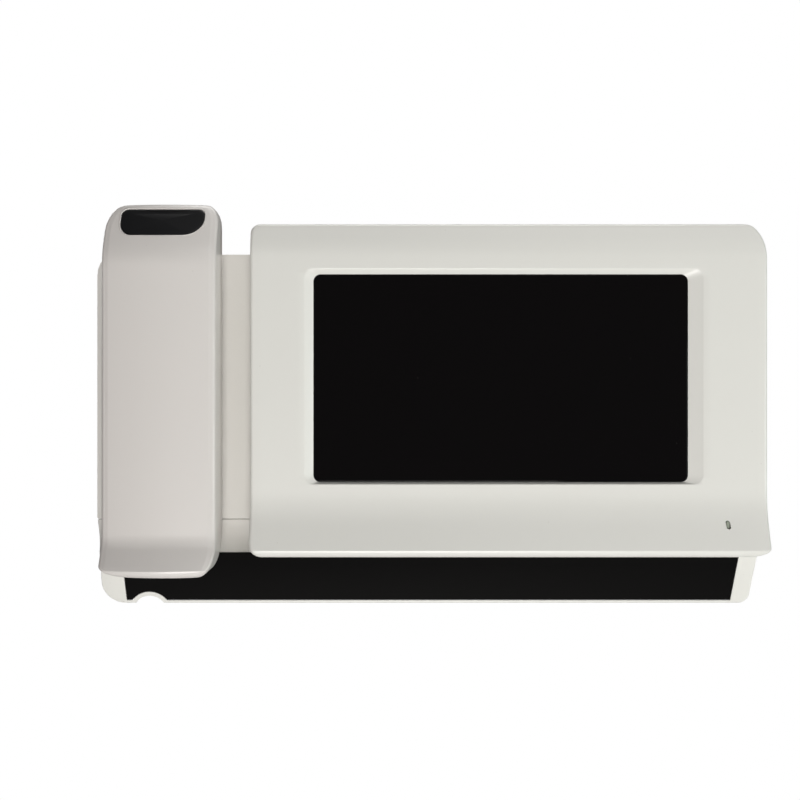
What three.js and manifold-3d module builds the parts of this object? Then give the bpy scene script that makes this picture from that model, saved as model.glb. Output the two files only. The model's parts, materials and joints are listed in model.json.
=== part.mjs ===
// Wall-mounted video intercom monitor with a corded handset.
// Every moulded, pressed or bought-in piece is a solid of its own.
// Millimetres. X runs to the right, +Z is up, the wall is the plane Y = 0 and the front faces -Y.
// The origin is the centre of the wall bracket's back face.
import * as THREE from "three";
import { mergeVertices } from "three/addons/utils/BufferGeometryUtils.js";
import Module from "manifold-3d";

// ---- Driving dimensions ----
const WALL = 2.2; // moulded wall thickness
const GAP = 0.4; // clearance between pieces that meet
const ROUND = 14; // sides of a round boss
const BASE = { left: -140.5, right: 140.6, bottom: -84.5, top: 64.3 };
const COVER = { left: -73.6, right: 141.1, bottom: -62.4, top: 75.7 };
const WINDOW = { left: -47.3, right: 108.4, bottom: -31.9, top: 54.5, radius: 3 };
const RECESS = { left: -50.9, right: 114.3, bottom: -32.7, top: 56.5, radius: 4 };
const HANDSET = { left: -134, right: -87.1, bottom: -70, top: 84.1 };
const HANDSET_X = -110.2; // line of the pegs, the receiver, the microphone and the socket
const LIGHT = { x: 124.1, z: -49.3, width: 1.5, height: 3.2 }; // status light slot
const CORD_X = -118.2; // cord notch and base socket
const NOTCH = { radius: 7.2, z: -88.5, rim: 2 }; // arch for the cord, its centre below the base
const LIFT_ANGLE = THREE.MathUtils.degToRad(30); // the handset leaves outwards and up at this angle

// Depths, all measured from the wall towards the front
const DEPTH = {
  skirt: -0.3, // back rim of the rear housing
  backPlate: -3.6, // outside of its back plate
  parting: -21.4, // where rear and front mouldings meet
  cradle: -24,
  handsetBack: -25,
  handsetSplit: -30,
  ridge: -31, // front of the lower housing's nose
  cover: -42,
  handset: -50,
};
const BACK_INNER = DEPTH.backPlate - WALL;
const FRONT_BACK = DEPTH.parting - GAP; // back edge of the front mouldings

// ---- Materials ----
const finish = (color, roughness, metalness = 0) =>
  new THREE.MeshStandardMaterial({ color, roughness, metalness });
const LOOK = {
  shell: finish(0xe4e1da, 0.3),
  blackGloss: finish(0x0c0b0c, 0.08),
  blackPlastic: finish(0x1b1b1d, 0.45),
  rubber: finish(0x2a2a2c, 0.85),
  foam: finish(0x38383a, 0.95),
  clear: finish(0xdfe6e2, 0.15),
  steel: finish(0xb8bbbe, 0.35, 0.9),
  darkSteel: finish(0x8d9196, 0.45, 0.85),
  board: finish(0x1f6b3f, 0.5),
  amber: finish(0xb5772b, 0.5),
  green: finish(0x2f8f4c, 0.5),
};

// ---- Solids ----
const wasm = await Module();
wasm.setup();

/** A closed three.js geometry as a solid that can be joined and cut. */
function solidFrom(geometry) {
  const bare = new THREE.BufferGeometry();
  const loose = geometry.index ? geometry.toNonIndexed() : geometry;
  bare.setAttribute("position", loose.getAttribute("position"));
  const merged = mergeVertices(bare, 1e-4);
  const vertProperties = merged.attributes.position.array;
  const triVerts = new Uint32Array(merged.index.array);
  return new wasm.Manifold(new wasm.Mesh({ numProp: 3, vertProperties, triVerts }));
}

const join = (first, ...others) => others.reduce((sum, solid) => sum.add(solid), first);
const cut = (body, ...tools) => tools.reduce((rest, tool) => rest.subtract(tool), body);

const group = new THREE.Group();
group.name = "video_intercom_monitor";

/** Adds one finished piece to the assembly. */
function piece(name, solid, material) {
  const made = solid.getMesh();
  const geometry = new THREE.BufferGeometry();
  geometry.setAttribute("position", new THREE.BufferAttribute(made.vertProperties, 3));
  geometry.setIndex(new THREE.BufferAttribute(made.triVerts, 1));
  const flat = geometry.toNonIndexed();
  flat.computeVertexNormals();
  const mesh = new THREE.Mesh(flat, material);
  mesh.name = name;
  group.add(mesh);
}

const point = (a, b) => new THREE.Vector2(a, b);
const polygon = (pairs) => pairs.map(([a, b]) => point(a, b));

/** A box between two corners. */
function block(x0, x1, y0, y1, z0, z1) {
  const geometry = new THREE.BoxGeometry(Math.abs(x1 - x0), Math.abs(y1 - y0), Math.abs(z1 - z0));
  geometry.translate((x0 + x1) / 2, (y0 + y1) / 2, (z0 + z1) / 2);
  return solidFrom(geometry);
}

/** An outline in the X-Z plane, pushed from one depth forward to another. */
function slab(points, yBack, yFront) {
  const geometry = new THREE.ExtrudeGeometry(new THREE.Shape(points), {
    depth: yBack - yFront,
    bevelEnabled: false,
  });
  geometry.rotateX(Math.PI / 2);
  geometry.translate(0, yBack, 0);
  return solidFrom(geometry);
}

/** An outline in the Y-Z plane, pushed along X. */
function lengthwise(points, x0, x1) {
  const geometry = new THREE.ExtrudeGeometry(new THREE.Shape(points), {
    depth: x1 - x0,
    bevelEnabled: false,
  });
  const turn = new THREE.Matrix4().makeBasis(
    new THREE.Vector3(0, 1, 0),
    new THREE.Vector3(0, 0, 1),
    new THREE.Vector3(1, 0, 0),
  );
  geometry.applyMatrix4(turn);
  geometry.translate(x0, 0, 0);
  return solidFrom(geometry);
}

/** A round bar between two points, tapered when a second radius is given. */
function rod(from, to, radius, sides = ROUND, endRadius = radius) {
  const start = new THREE.Vector3(...from);
  const end = new THREE.Vector3(...to);
  const along = end.clone().sub(start);
  const geometry = new THREE.CylinderGeometry(endRadius, radius, along.length(), sides);
  const up = new THREE.Vector3(0, 1, 0);
  geometry.applyQuaternion(new THREE.Quaternion().setFromUnitVectors(up, along.normalize()));
  const middle = start.add(end).multiplyScalar(0.5);
  geometry.translate(middle.x, middle.y, middle.z);
  return solidFrom(geometry);
}

/** A round bar that runs straight forward from one depth to another. */
const peg = (x, z, yBack, yFront, radius, sides = ROUND) =>
  rod([x, yBack, z], [x, yFront, z], radius, sides);

/** Outline with a quarter ellipse at each corner, each corner given as [width, height]. */
function softOutline(box, corners, steps = 5) {
  const { bl, br, tr, tl } = corners;
  const quarters = [
    [box.left + bl[0], box.bottom + bl[1], bl, Math.PI],
    [box.right - br[0], box.bottom + br[1], br, 1.5 * Math.PI],
    [box.right - tr[0], box.top - tr[1], tr, 0],
    [box.left + tl[0], box.top - tl[1], tl, 0.5 * Math.PI],
  ];
  return quarters.flatMap(([cx, cz, [rx, rz], start]) =>
    Array.from({ length: steps + 1 }, (_, k) => {
      const angle = start + (k / steps) * 0.5 * Math.PI;
      return point(cx + rx * Math.cos(angle), cz + rz * Math.sin(angle));
    }),
  );
}

/** Outline of a box with the same radius at every corner. */
function roundedOutline(box, radius, steps) {
  const both = [radius, radius];
  return softOutline(box, { bl: both, br: both, tr: both, tl: both }, steps);
}

/** A box moved outwards on every side. */
const grown = ({ left, right, bottom, top }, by) => ({
  left: left - by,
  right: right + by,
  bottom: bottom - by,
  top: top + by,
});

/** Moves every edge of a closed outline inwards by the same distance. */
function inset(points, distance) {
  const inward = THREE.ShapeUtils.isClockWise(points) ? -distance : distance;
  return points.map((here, i) => {
    const before = points[(i + points.length - 1) % points.length];
    const after = points[(i + 1) % points.length];
    const first = here.clone().sub(before).normalize();
    const second = after.clone().sub(here).normalize();
    const across = point(-first.y - second.y, first.x + second.x);
    return here.clone().addScaledVector(across, (2 * inward) / across.lengthSq());
  });
}

/** How far a surface has bent away at a distance: nothing, then a parabola, then a straight slope. */
function bend(distance, from, to, slope) {
  if (distance <= from) return 0;
  if (distance >= to) return slope * (distance - (from + to) / 2);
  return (slope * (distance - from) ** 2) / (2 * (to - from));
}

/** How far a quarter-ellipse corner holds an edge back at a distance from the corner. */
function cornerBite(distance, width, height) {
  const share = Math.min(1, distance / height);
  return width * (1 - Math.sqrt(Math.max(0, 1 - (1 - share) ** 2)));
}

/** Steps from one number to another, both ends included. */
const evenly = (from, to, steps) =>
  Array.from({ length: steps + 1 }, (_, k) => from + ((to - from) * k) / steps);

/** A closed solid through level rings of equal point count, closed flat at both ends. */
function loft(rings) {
  const count = rings[0].length;
  const corners = rings.flat();
  const bottom = corners.length;
  const top = bottom + 1;
  const middle = (ring) =>
    ring.reduce((sum, p) => sum.add(p), new THREE.Vector3()).divideScalar(count);
  corners.push(middle(rings[0]), middle(rings.at(-1)));
  const index = [];
  for (let k = 0; k + 1 < rings.length; k++) {
    for (let i = 0; i < count; i++) {
      const a = k * count + i;
      const b = k * count + ((i + 1) % count);
      index.push(a, b, b + count, a, b + count, a + count);
    }
  }
  const last = (rings.length - 1) * count;
  for (let i = 0; i < count; i++) {
    const next = (i + 1) % count;
    index.push(bottom, next, i, top, last + i, last + next);
  }
  const geometry = new THREE.BufferGeometry().setFromPoints(corners);
  geometry.setIndex(index);
  return solidFrom(geometry);
}

const ARC_STEPS = 3; // sides of a rounded front edge
const EDGE_LEVELS = [0, 0.08, 0.3, 0.6, 1]; // slices through a rounded end, as shares of its radius
const LEAST_RADIUS = 0.3;

/** How far a rounded end holds the front back, at a share of its radius from where it starts. */
const roundedBy = (radius, share) => radius * (1 - Math.sqrt(1 - Math.max(0, share) ** 2));

/**
 * The full body of a wave-shaped shell: level slices whose front follows the wave, crowned
 * across the width, with rounded front edges. A thickness gives the same body moved inwards,
 * for hollowing; openBack moves its back face to a depth of its own.
 */
function waveBody(form, thickness = 0, openBack = null) {
  const bottom = form.box.bottom + thickness;
  const top = form.box.top - thickness;
  const arc = Math.max(LEAST_RADIUS + 0.1, form.edge - thickness / 2);
  const { bl, br, tl, tr } = form.corners;
  const radius = (size) => Math.max(LEAST_RADIUS, size - thickness);
  const bite = (z, [lowWidth, lowHeight], [highWidth, highHeight]) =>
    cornerBite(z - bottom, radius(lowWidth), radius(lowHeight)) +
    cornerBite(top - z, radius(highWidth), radius(highHeight));
  const slice = (z) => {
    const left = form.box.left + thickness + bite(z, bl, tl);
    const right = form.box.right - thickness - bite(z, br, tr);
    const atRim = roundedBy(form.rim, (bottom + form.rim - z) / form.rim);
    const atTop = roundedBy(form.edge, (z - top + form.edge) / form.edge);
    const front = form.front(z) + thickness + atRim + atTop;
    const back = openBack ?? form.back(z) - thickness;
    const middle = (left + right) / 2;
    const half = (right - left) / 2;
    const crown = (x) => front + form.crown * ((x - middle) / half) ** 2;
    /** A rounded edge from the side to the face, side is 1 at the left and -1 at the right. */
    const edge = (x, side) =>
      evenly(0, 0.5 * Math.PI, ARC_STEPS).map((turn) => {
        const y = crown(x) + arc * (1 - Math.sin(turn));
        return new THREE.Vector3(x + side * arc * (1 - Math.cos(turn)), y, z);
      });
    const face = evenly(left + arc, right - arc, form.across)
      .slice(1, -1)
      .map((x) => new THREE.Vector3(x, crown(x), z));
    return [
      new THREE.Vector3(left, back, z),
      ...edge(left, 1),
      ...face,
      ...edge(right, -1).reverse(),
      new THREE.Vector3(right, back, z),
    ];
  };
  const inside = form.levels.filter(
    (z) => z > bottom + form.rim + LEAST_RADIUS && z < top - form.edge - LEAST_RADIUS,
  );
  const low = EDGE_LEVELS.map((share) => bottom + share * form.rim);
  const high = EDGE_LEVELS.toReversed().map((share) => top - share * form.edge);
  return loft([...low, ...inside, ...high].map(slice));
}

// ---- Screws ----
const SCREW = {
  crownRadius: 2.26,
  headRadius: 2.9,
  headHeight: 1.8,
  shaftRadius: 1.35,
  crossArm: 1.7,
  crossSlot: 0.35,
  hole: 1.75,
  bore: 3.4,
  seat: -14.8,
};
const HOUSING_HEAD_Y = -12.6; // outer face of the screw heads in the rear housing
const SMALL = 0.8; // size of the inner screws against the housing screws

/**
 * Pan-head cross-recess screw: its head starts at one depth and its shaft runs in a
 * direction, -1 forwards or 1 backwards.
 */
function screw(name, [x, z], yHead, length, direction = -1, scale = 1) {
  const under = yHead + direction * SCREW.headHeight * scale;
  const overlap = 0.2 * direction;
  const shaft = peg(x, z, under - overlap, under + direction * length, SCREW.shaftRadius * scale, 6);
  const crown = SCREW.crownRadius * scale;
  const cap = rod([x, yHead, z], [x, under, z], crown, 10, SCREW.headRadius * scale);
  const arm = SCREW.crossArm * scale;
  const slot = SCREW.crossSlot * scale;
  const deep = yHead + direction * SCREW.headHeight * scale * 0.6;
  const above = yHead - direction;
  const cross = join(
    block(x - arm, x + arm, above, deep, z - slot, z + slot),
    block(x - slot, x + slot, above, deep, z - arm, z + arm),
  );
  piece(name, cut(join(cap, shaft), cross), LOOK.steel);
}

/** One screw at each place, numbered from 1. */
function screws(prefix, places, ...rest) {
  places.forEach((place, index) => screw(`${prefix}_${index + 1}`, place, ...rest));
}

const COVER_SCREWS = [
  [-63.8, 64.5],
  [128, 61],
  [-63.8, -36],
  [132.5, -40],
];
const CRADLE_SCREWS = [
  [-129, 44],
  [-82, -40],
];
const LOWER_SCREWS = [
  [-94, -72],
  [-52, -72],
  [100, -72],
];
const REAR_SCREWS = [...COVER_SCREWS, ...CRADLE_SCREWS, ...LOWER_SCREWS];
const BOARD_SCREWS = [
  [-44, 46],
  [58, 46],
  [-44, -41],
  [58, -41],
];
const POWER_SCREWS = [
  [77, -29],
  [127, 18],
];
const LCD_SCREWS = [
  [-59.5, 45],
  [-59.5, -22],
  [120.5, 45],
  [120.5, -22],
];
const HANDSET_SCREWS = [
  [HANDSET_X, 42],
  [HANDSET.left + 6.6, -44],
  [HANDSET.right - 6.6, -44],
];

// ---- Wall bracket: pressed steel plate with four hooks and a cable window ----
const PLATE = { left: -70, right: 70, bottom: -46, top: 46, thickness: 1.5 };
const HOOK = { width: 12, reach: -9, lip: 7.5, xs: [-50, 50], zs: [28, -24] };
const CABLE = { left: -23, right: 23, bottom: -40, top: -12 };

let bracket = slab(roundedOutline(PLATE, 5, 3), 0, -PLATE.thickness);
for (const x of HOOK.xs) {
  for (const z of HOOK.zs) {
    const half = HOOK.width / 2;
    const arm = block(x - half, x + half, -1, HOOK.reach, z, z + PLATE.thickness);
    const lip = block(x - half, x + half, HOOK.reach, HOOK.reach + PLATE.thickness, z, z + HOOK.lip);
    bracket = join(bracket, arm, lip);
  }
}
bracket = cut(bracket, slab(roundedOutline(CABLE, 3, 3), 1, -3));
for (const x of [-60, 60]) {
  for (const z of [-37, 37]) {
    bracket = cut(bracket, peg(x, z, 1, -3, 2.2, 12));
  }
}
const LEVEL_SLOT = { left: -6, right: 6, bottom: 36, top: 40.5 };
bracket = cut(bracket, slab(roundedOutline(LEVEL_SLOT, 2, 3), 1, -3));
piece("wall_bracket", bracket, LOOK.darkSteel);

// ---- Rear housing: tray with hook slots, cable window, sound slots and screw tubes ----
const REAR_STEP = 1.6; // the rear housing stands this far inside the front mouldings
const REAR_DISPLAY = {
  box: { left: COVER.left + 2, right: BASE.right - 0.7, bottom: BASE.bottom, top: COVER.top },
  corners: { bl: [7, 7], br: [5, 5], tr: [9, 15], tl: [5, 5] },
};
const REAR_CRADLE = {
  box: { left: BASE.left, right: 1, bottom: BASE.bottom, top: BASE.top },
  corners: { bl: [12, 11], br: [4, 4], tr: [4, 4], tl: [8, 10] },
};

/** Both halves of the rear outline, moved inwards, between two depths. */
function rearSlab(by, yBack, yFront) {
  const halves = [REAR_DISPLAY, REAR_CRADLE].map(({ box, corners }) => {
    const tighter = Object.entries(corners).map(([key, [w, h]]) => [key, [w - by, h - by]]);
    return slab(softOutline(grown(box, -by), Object.fromEntries(tighter)), yBack, yFront);
  });
  return join(...halves);
}
const RADIO = { x: 112, z: 43, radius: 18 }; // ringer loudspeaker
const REAR_INNER = REAR_STEP + WALL;
let rear = rearSlab(REAR_STEP, DEPTH.skirt, DEPTH.parting);
rear = cut(rear, rearSlab(REAR_INNER, BACK_INNER, -40), rearSlab(REAR_INNER, 1, DEPTH.backPlate));
for (const [x, z] of REAR_SCREWS) {
  rear = join(rear, peg(x, z, DEPTH.backPlate - 1, -17, 4.4));
}
for (const [x, z] of BOARD_SCREWS) {
  rear = join(rear, peg(x, z, DEPTH.backPlate - 1, -24.6, 3.4, 14));
}
for (const [x, z] of POWER_SCREWS) {
  rear = join(rear, peg(x, z, DEPTH.backPlate - 1, -8.1, 3.2, 14));
}
const HOOK_SWITCH = { x: HANDSET_X, z: 2, tube: 4.4, bore: 3.4, end: -11 };
const { x: hookX, z: hookZ } = HOOK_SWITCH;
rear = join(rear, peg(hookX, hookZ, DEPTH.backPlate - 1, HOOK_SWITCH.end, HOOK_SWITCH.tube));
rear = cut(rear, peg(hookX, hookZ, BACK_INNER, -30, HOOK_SWITCH.bore));
for (const [x, z] of REAR_SCREWS) {
  rear = cut(rear, peg(x, z, 1, SCREW.seat, SCREW.bore), peg(x, z, 1, -18, SCREW.hole, 12));
}
for (const [x, z] of BOARD_SCREWS) {
  rear = cut(rear, peg(x, z, -12, -30, 1.6, 10));
}
for (const [x, z] of POWER_SCREWS) {
  rear = cut(rear, peg(x, z, -4.6, -12, 1.6, 10));
}
rear = cut(rear, slab(roundedOutline(CABLE, 3, 3), 1, -8));
for (const x of HOOK.xs) {
  for (const z of HOOK.zs) {
    const half = HOOK.width / 2 + 1;
    rear = cut(rear, block(x - half, x + half, -2, -8, z - 8.4, z + PLATE.thickness + GAP));
  }
}
for (let row = -3; row <= 3; row++) {
  const half = Math.sqrt(15 ** 2 - (row * 4) ** 2);
  const z = RADIO.z + row * 4;
  rear = cut(rear, block(RADIO.x - half, RADIO.x + half, -2, -8, z - 0.9, z + 0.9));
}
const VENTS = { left: 74, pitch: 5, count: 8, width: 2, bottom: -62, top: -46 };
for (let k = 0; k < VENTS.count; k++) {
  const x = VENTS.left + k * VENTS.pitch;
  rear = cut(rear, block(x, x + VENTS.width, -2, -8, VENTS.bottom, VENTS.top));
}
const SOCKET = { width: 11.4, tall: 13.4, deep: 12, mouth: 7.8, throat: 10, half: 3.4, key: 1.6 };
const BASE_SOCKET = { back: -7, bottom: -80.4 };
/** The way through the mouldings to the base socket. */
const socketWay = (yBack, top) =>
  block(
    CORD_X - SOCKET.width / 2 - GAP,
    CORD_X + SOCKET.width / 2 + GAP,
    yBack,
    BASE_SOCKET.back - SOCKET.deep - GAP,
    BASE.bottom - 5,
    top,
  );
const notchTool = (yBack, yFront, radius) => peg(CORD_X, NOTCH.z, yBack, yFront, radius, 32);
rear = cut(rear, socketWay(BASE_SOCKET.back + GAP, -75), notchTool(1, -30, NOTCH.radius));
piece("rear_housing", rear, LOOK.shell);

screws("cover_screw", COVER_SCREWS, HOUSING_HEAD_Y, 12);
screws("cradle_screw", CRADLE_SCREWS, HOUSING_HEAD_Y, 7);
screws("lower_screw", LOWER_SCREWS, HOUSING_HEAD_Y, 7);

/** A blind boss at the back of a front moulding, for a screw from behind. */
const boss = ([x, z], yFront) => peg(x, z, -17.4, yFront, 3.6, 14);
const bossHole = ([x, z], yEnd) => peg(x, z, -17, yEnd, SCREW.hole, 10);

// ---- Lower housing: hollow nose that flares forward to a ridge and carries the black strip ----
const SEAM_Z = -48.8;
const RIDGE_Z = -61.9;
const NOSE_BOTTOM_Y = -22.8;
const flareRise = SEAM_Z - RIDGE_Z;
const flareOut = DEPTH.cradle - DEPTH.ridge;
const flareTurn = 2 * Math.atan(flareOut / flareRise);
const flareRadius = flareRise / Math.sin(flareTurn);

/** Front of the nose: an arc, upright at the seam and ending at the ridge, then the strip's slope. */
function noseProfile(back) {
  const flare = evenly(0, flareTurn, 6).map((turn) =>
    point(DEPTH.cradle - flareRadius * (1 - Math.cos(turn)), SEAM_Z - flareRadius * Math.sin(turn)),
  );
  const underside = [point(NOSE_BOTTOM_Y, BASE.bottom), point(back, BASE.bottom)];
  return [point(back, SEAM_Z), ...flare, ...underside];
}
const slopeLength = Math.hypot(NOSE_BOTTOM_Y - DEPTH.ridge, BASE.bottom - RIDGE_Z);
const slopeY = (NOSE_BOTTOM_Y - DEPTH.ridge) / slopeLength;
const slopeZ = (BASE.bottom - RIDGE_Z) / slopeLength;
/** A place on the strip's slope: along it from the ridge, and out of it. */
const onSlope = (along, out) =>
  point(DEPTH.ridge + slopeY * along + slopeZ * out, RIDGE_Z + slopeZ * along - slopeY * out);
const slopePlate = (from, to, low, high) => [
  onSlope(from, low),
  onSlope(to, low),
  onSlope(to, high),
  onSlope(from, high),
];

const NOSE_TAPER = { left: 0.17, right: 0.11 };

/**
 * The nose seen from the front, moved inwards: its left end leans in down to the ridge and its
 * right end leans in below the ridge.
 */
function noseOutline(by) {
  const box = {
    left: BASE.left + by,
    right: BASE.right - by,
    bottom: BASE.bottom + by,
    top: SEAM_Z - by,
  };
  const corners = {
    bl: [10 - by, 9 - by],
    br: [4 - by / 2, 4 - by / 2],
    tr: [0.6, 0.6],
    tl: [0.6, 0.6],
  };
  return softOutline(box, corners).map(({ x, y: z }) => {
    if (x < 0) return point(x + NOSE_TAPER.left * (SEAM_Z - Math.max(z, RIDGE_Z)), z);
    return point(x - NOSE_TAPER.right * Math.max(0, RIDGE_Z - z), z);
  });
}
let lower = lengthwise(noseProfile(FRONT_BACK), -150, 150).intersect(slab(noseOutline(0), 0, -40));
const noseHollow = lengthwise(inset(noseProfile(FRONT_BACK + 8), WALL + 0.2), -150, 150);
const noseCore = noseHollow.intersect(slab(noseOutline(WALL), 0, -40));
lower = cut(lower, noseCore);
for (const place of LOWER_SCREWS) {
  lower = join(lower, boss(place, -24.2));
}
for (const place of LOWER_SCREWS) {
  lower = cut(lower, bossHole(place, -22.6));
}
lower = cut(lower, notchTool(0, -40, NOTCH.radius));
lower = cut(lower, socketWay(0, -66));
// the upper right end is held back inside the display cover
lower = cut(lower, block(COVER.right - WALL - GAP, 160, 0, -60, COVER.bottom - GAP, -40));
const STRIP = {
  leftTop: -128.9,
  leftBottom: -127.8,
  rightTop: 131.8,
  rightBottom: 129.6,
  bottom: BASE.bottom + 1.4,
  from: 0.5,
  to: 22.6,
  thick: 1.3,
};
const stripOutline = (margin) => [
  point(STRIP.leftBottom - margin, STRIP.bottom - margin),
  point(STRIP.rightBottom + margin, STRIP.bottom - margin),
  point(STRIP.rightTop + margin, RIDGE_Z + margin),
  point(STRIP.leftTop - margin, RIDGE_Z + margin),
];

/** A plate on the slope, trimmed to the strip's outline and arched over the cord notch. */
function stripBody(from, to, thick, margin) {
  const plate = lengthwise(slopePlate(from, to, -thick, 0.02), -150, 150);
  const trimmed = plate.intersect(slab(stripOutline(margin), 0, -50));
  return cut(trimmed, notchTool(0, -50, NOTCH.radius + NOTCH.rim - margin));
}
const BED = { from: -0.5, to: 24, deeper: 0.3, wider: 0.25 }; // the strip's bed
lower = cut(lower, stripBody(BED.from, BED.to, STRIP.thick + BED.deeper, BED.wider));
piece("lower_housing", lower, LOOK.shell);
piece("key_strip", stripBody(STRIP.from, STRIP.to, STRIP.thick, 0), LOOK.blackGloss);
piece("touch_key_board", lengthwise(slopePlate(4, 18, -4.2, -3.1), -45, 62), LOOK.board);

// ---- Cradle panel: plate behind the handset with two slanted pegs and the plunger hole ----
const LIFT = new THREE.Vector3(0, -Math.cos(LIFT_ANGLE), Math.sin(LIFT_ANGLE));
const PEGS = [24, -26]; // heights of the two pegs
const PEG = { radius: 5, length: 8, clearance: 0.5 };
const PANEL_RIGHT = -69;
const PLUNGER = { radius: 3.6, flange: 4.8 };
const PADS = [
  ["cradle_pad_left", HANDSET_X - 14, 36],
  ["cradle_pad_right", HANDSET_X + 14, 36],
];
/** A place on a peg's axis, at a distance out of the panel. */
const alongLift = (z, distance) => [HANDSET_X, DEPTH.cradle + LIFT.y * distance, z + LIFT.z * distance];
const panelOutline = softOutline(
  { left: BASE.left, right: PANEL_RIGHT, bottom: SEAM_Z + GAP, top: BASE.top },
  { bl: [0.6, 0.6], br: [0.6, 0.6], tr: [0.6, 0.6], tl: [7, 9] },
);
let cradle = slab(panelOutline, FRONT_BACK, DEPTH.cradle);
for (const z of PEGS) {
  cradle = join(cradle, rod(alongLift(z, -2), alongLift(z, PEG.length), PEG.radius, 24));
}
cradle = cut(cradle, block(-160, PANEL_RIGHT + 1, 0, FRONT_BACK, -60, 80));
for (const place of CRADLE_SCREWS) {
  cradle = join(cradle, boss(place, -22.5));
}
for (const place of CRADLE_SCREWS) {
  cradle = cut(cradle, bossHole(place, -22.8));
}
cradle = cut(cradle, peg(hookX, hookZ, 0, -30, PLUNGER.radius + GAP, 20));
for (const [, x, z] of PADS) {
  cradle = cut(cradle, peg(x, z, -22.9, -30, 4.8));
}
piece("cradle_panel", cradle, LOOK.shell);
for (const [name, x, z] of PADS) {
  piece(name, peg(x, z, -23.2, -24.6, 4.4), LOOK.rubber);
}

// ---- Hook switch: sprung plunger that the handset holds in ----
piece(
  "hook_plunger",
  join(
    peg(hookX, hookZ, -18, -24.2, PLUNGER.radius, 20),
    rod([hookX, -24.19, hookZ], [hookX, -24.7, hookZ], PLUNGER.radius, 20, PLUNGER.radius - 0.6),
    peg(hookX, hookZ, -17.2, -18.4, PLUNGER.flange, 20),
    peg(hookX, hookZ, -10, -17.3, 1.4, 12),
  ),
  LOOK.blackPlastic,
);

/** A helix that runs forward, as a path for the spring's wire. */
class Helix extends THREE.Curve {
  constructor(radius, turns, back, front) {
    super();
    Object.assign(this, { radius, turns, back, front });
  }
  getPoint(t, target = new THREE.Vector3()) {
    const turn = t * this.turns * 2 * Math.PI;
    const y = this.back + (this.front - this.back) * t;
    return target.set(hookX + this.radius * Math.cos(turn), y, hookZ + this.radius * Math.sin(turn));
  }
}
const WIRE = { radius: 0.3, sides: 5 };
const wire = Array.from({ length: WIRE.sides }, (_, k) => {
  const turn = (k / WIRE.sides) * 2 * Math.PI;
  return point(WIRE.radius * Math.cos(turn), WIRE.radius * Math.sin(turn));
});
const springGeometry = new THREE.ExtrudeGeometry(new THREE.Shape(wire), {
  steps: 48,
  extrudePath: new Helix(2.4, 5.5, -6.4, -16.6),
});
piece("hook_spring", solidFrom(springGeometry), LOOK.steel);
piece(
  "hook_switch",
  join(
    block(hookX - 10, hookX + 10, -6.2, -15.6, hookZ - 14.5, hookZ - 8.2),
    block(hookX - 1, hookX + 1, -15.5, -16.8, hookZ - 9.6, hookZ - 8.2),
    block(hookX - 8, hookX + 8, -15.5, -16.2, hookZ - 9.6, hookZ - 8.4),
  ),
  LOOK.blackPlastic,
);

/** A modular socket whose mouth faces down. */
function modularSocket(name, x, yBack, bottom) {
  const half = SOCKET.width / 2;
  const mouthHalf = SOCKET.mouth / 2;
  const yMid = yBack - SOCKET.deep / 2;
  const below = bottom - 1;
  const throat = bottom + SOCKET.throat;
  const body = block(x - half, x + half, yBack, yBack - SOCKET.deep, bottom, bottom + SOCKET.tall);
  const mouth = block(x - mouthHalf, x + mouthHalf, yMid - SOCKET.half, yMid + SOCKET.half, below, throat);
  const key = block(x - SOCKET.key, x + SOCKET.key, yMid + 3, yMid + 4.8, below, throat);
  piece(name, cut(body, mouth, key), LOOK.blackPlastic);
}
modularSocket("base_cord_socket", CORD_X, BASE_SOCKET.back, BASE_SOCKET.bottom);

// ---- Display cover: wave-shaped shell with a bevelled screen recess ----
const COVER_FORM = {
  box: COVER,
  corners: { bl: [5.2, 6], br: [10, 3.7], tr: [8.3, 15], tl: [4, 4] },
  back: () => FRONT_BACK,
  front: (z) => DEPTH.cover + bend(z, 62, 69.5, 0.364) - bend(-z, 36.7, 49.1, 0.457),
  crown: 0,
  across: 1,
  rim: 3,
  edge: 1.5,
  levels: [-58.5, -55, ...evenly(-49.1, -36.7, 4), 0, 60.7, ...evenly(62, 69.5, 4), 72, 73.5],
};
let cover = cut(waveBody(COVER_FORM), waveBody(COVER_FORM, WALL, 0));
const coverSkin = waveBody(COVER_FORM, 1, 0);
const coverBosses = [
  ...COVER_SCREWS.map((place) => boss(place, -60)),
  ...LCD_SCREWS.map(([x, z]) => peg(x, z, -31.4, -60, 3.2, 14)),
];
cover = join(cover, ...coverBosses.map((solid) => solid.intersect(coverSkin)));
cover = cut(cover, ...COVER_SCREWS.map((place) => bossHole(place, -30)));
cover = cut(cover, ...LCD_SCREWS.map(([x, z]) => peg(x, z, -30, -37.6, 1.6, 10)));
const RECESS_DEPTH = 1.8;
const LENS_FRONT = DEPTH.cover + RECESS_DEPTH;

/** The recess: a funnel from its outer outline at the face down to the window, then straight on. */
function recessTool() {
  const outer = roundedOutline(RECESS, RECESS.radius, 3);
  const window = roundedOutline(WINDOW, WINDOW.radius, 3);
  const above = 0.5; // the funnel carries on this far in front of the face
  /** A ring between the outlines, 0 at the outer one and 1 at the window, with depth as height. */
  const ring = (share, y) =>
    outer.map((p, i) => {
      const between = p.clone().lerp(window[i], share);
      return new THREE.Vector3(between.x, between.y, -y);
    });
  const rings = [ring(1, -30), ring(1, LENS_FRONT), ring(-above / RECESS_DEPTH, DEPTH.cover - above)];
  return loft(rings).rotate([90, 0, 0]);
}
cover = cut(cover, recessTool());
const lightSlot = (margin) =>
  slab(
    roundedOutline(
      {
        left: LIGHT.x - LIGHT.width / 2 - margin,
        right: LIGHT.x + LIGHT.width / 2 + margin,
        bottom: LIGHT.z - LIGHT.height / 2 - margin,
        top: LIGHT.z + LIGHT.height / 2 + margin,
      },
      (LIGHT.width / 2 + margin) * 0.96,
      3,
    ),
    -30,
    -60,
  );
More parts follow.
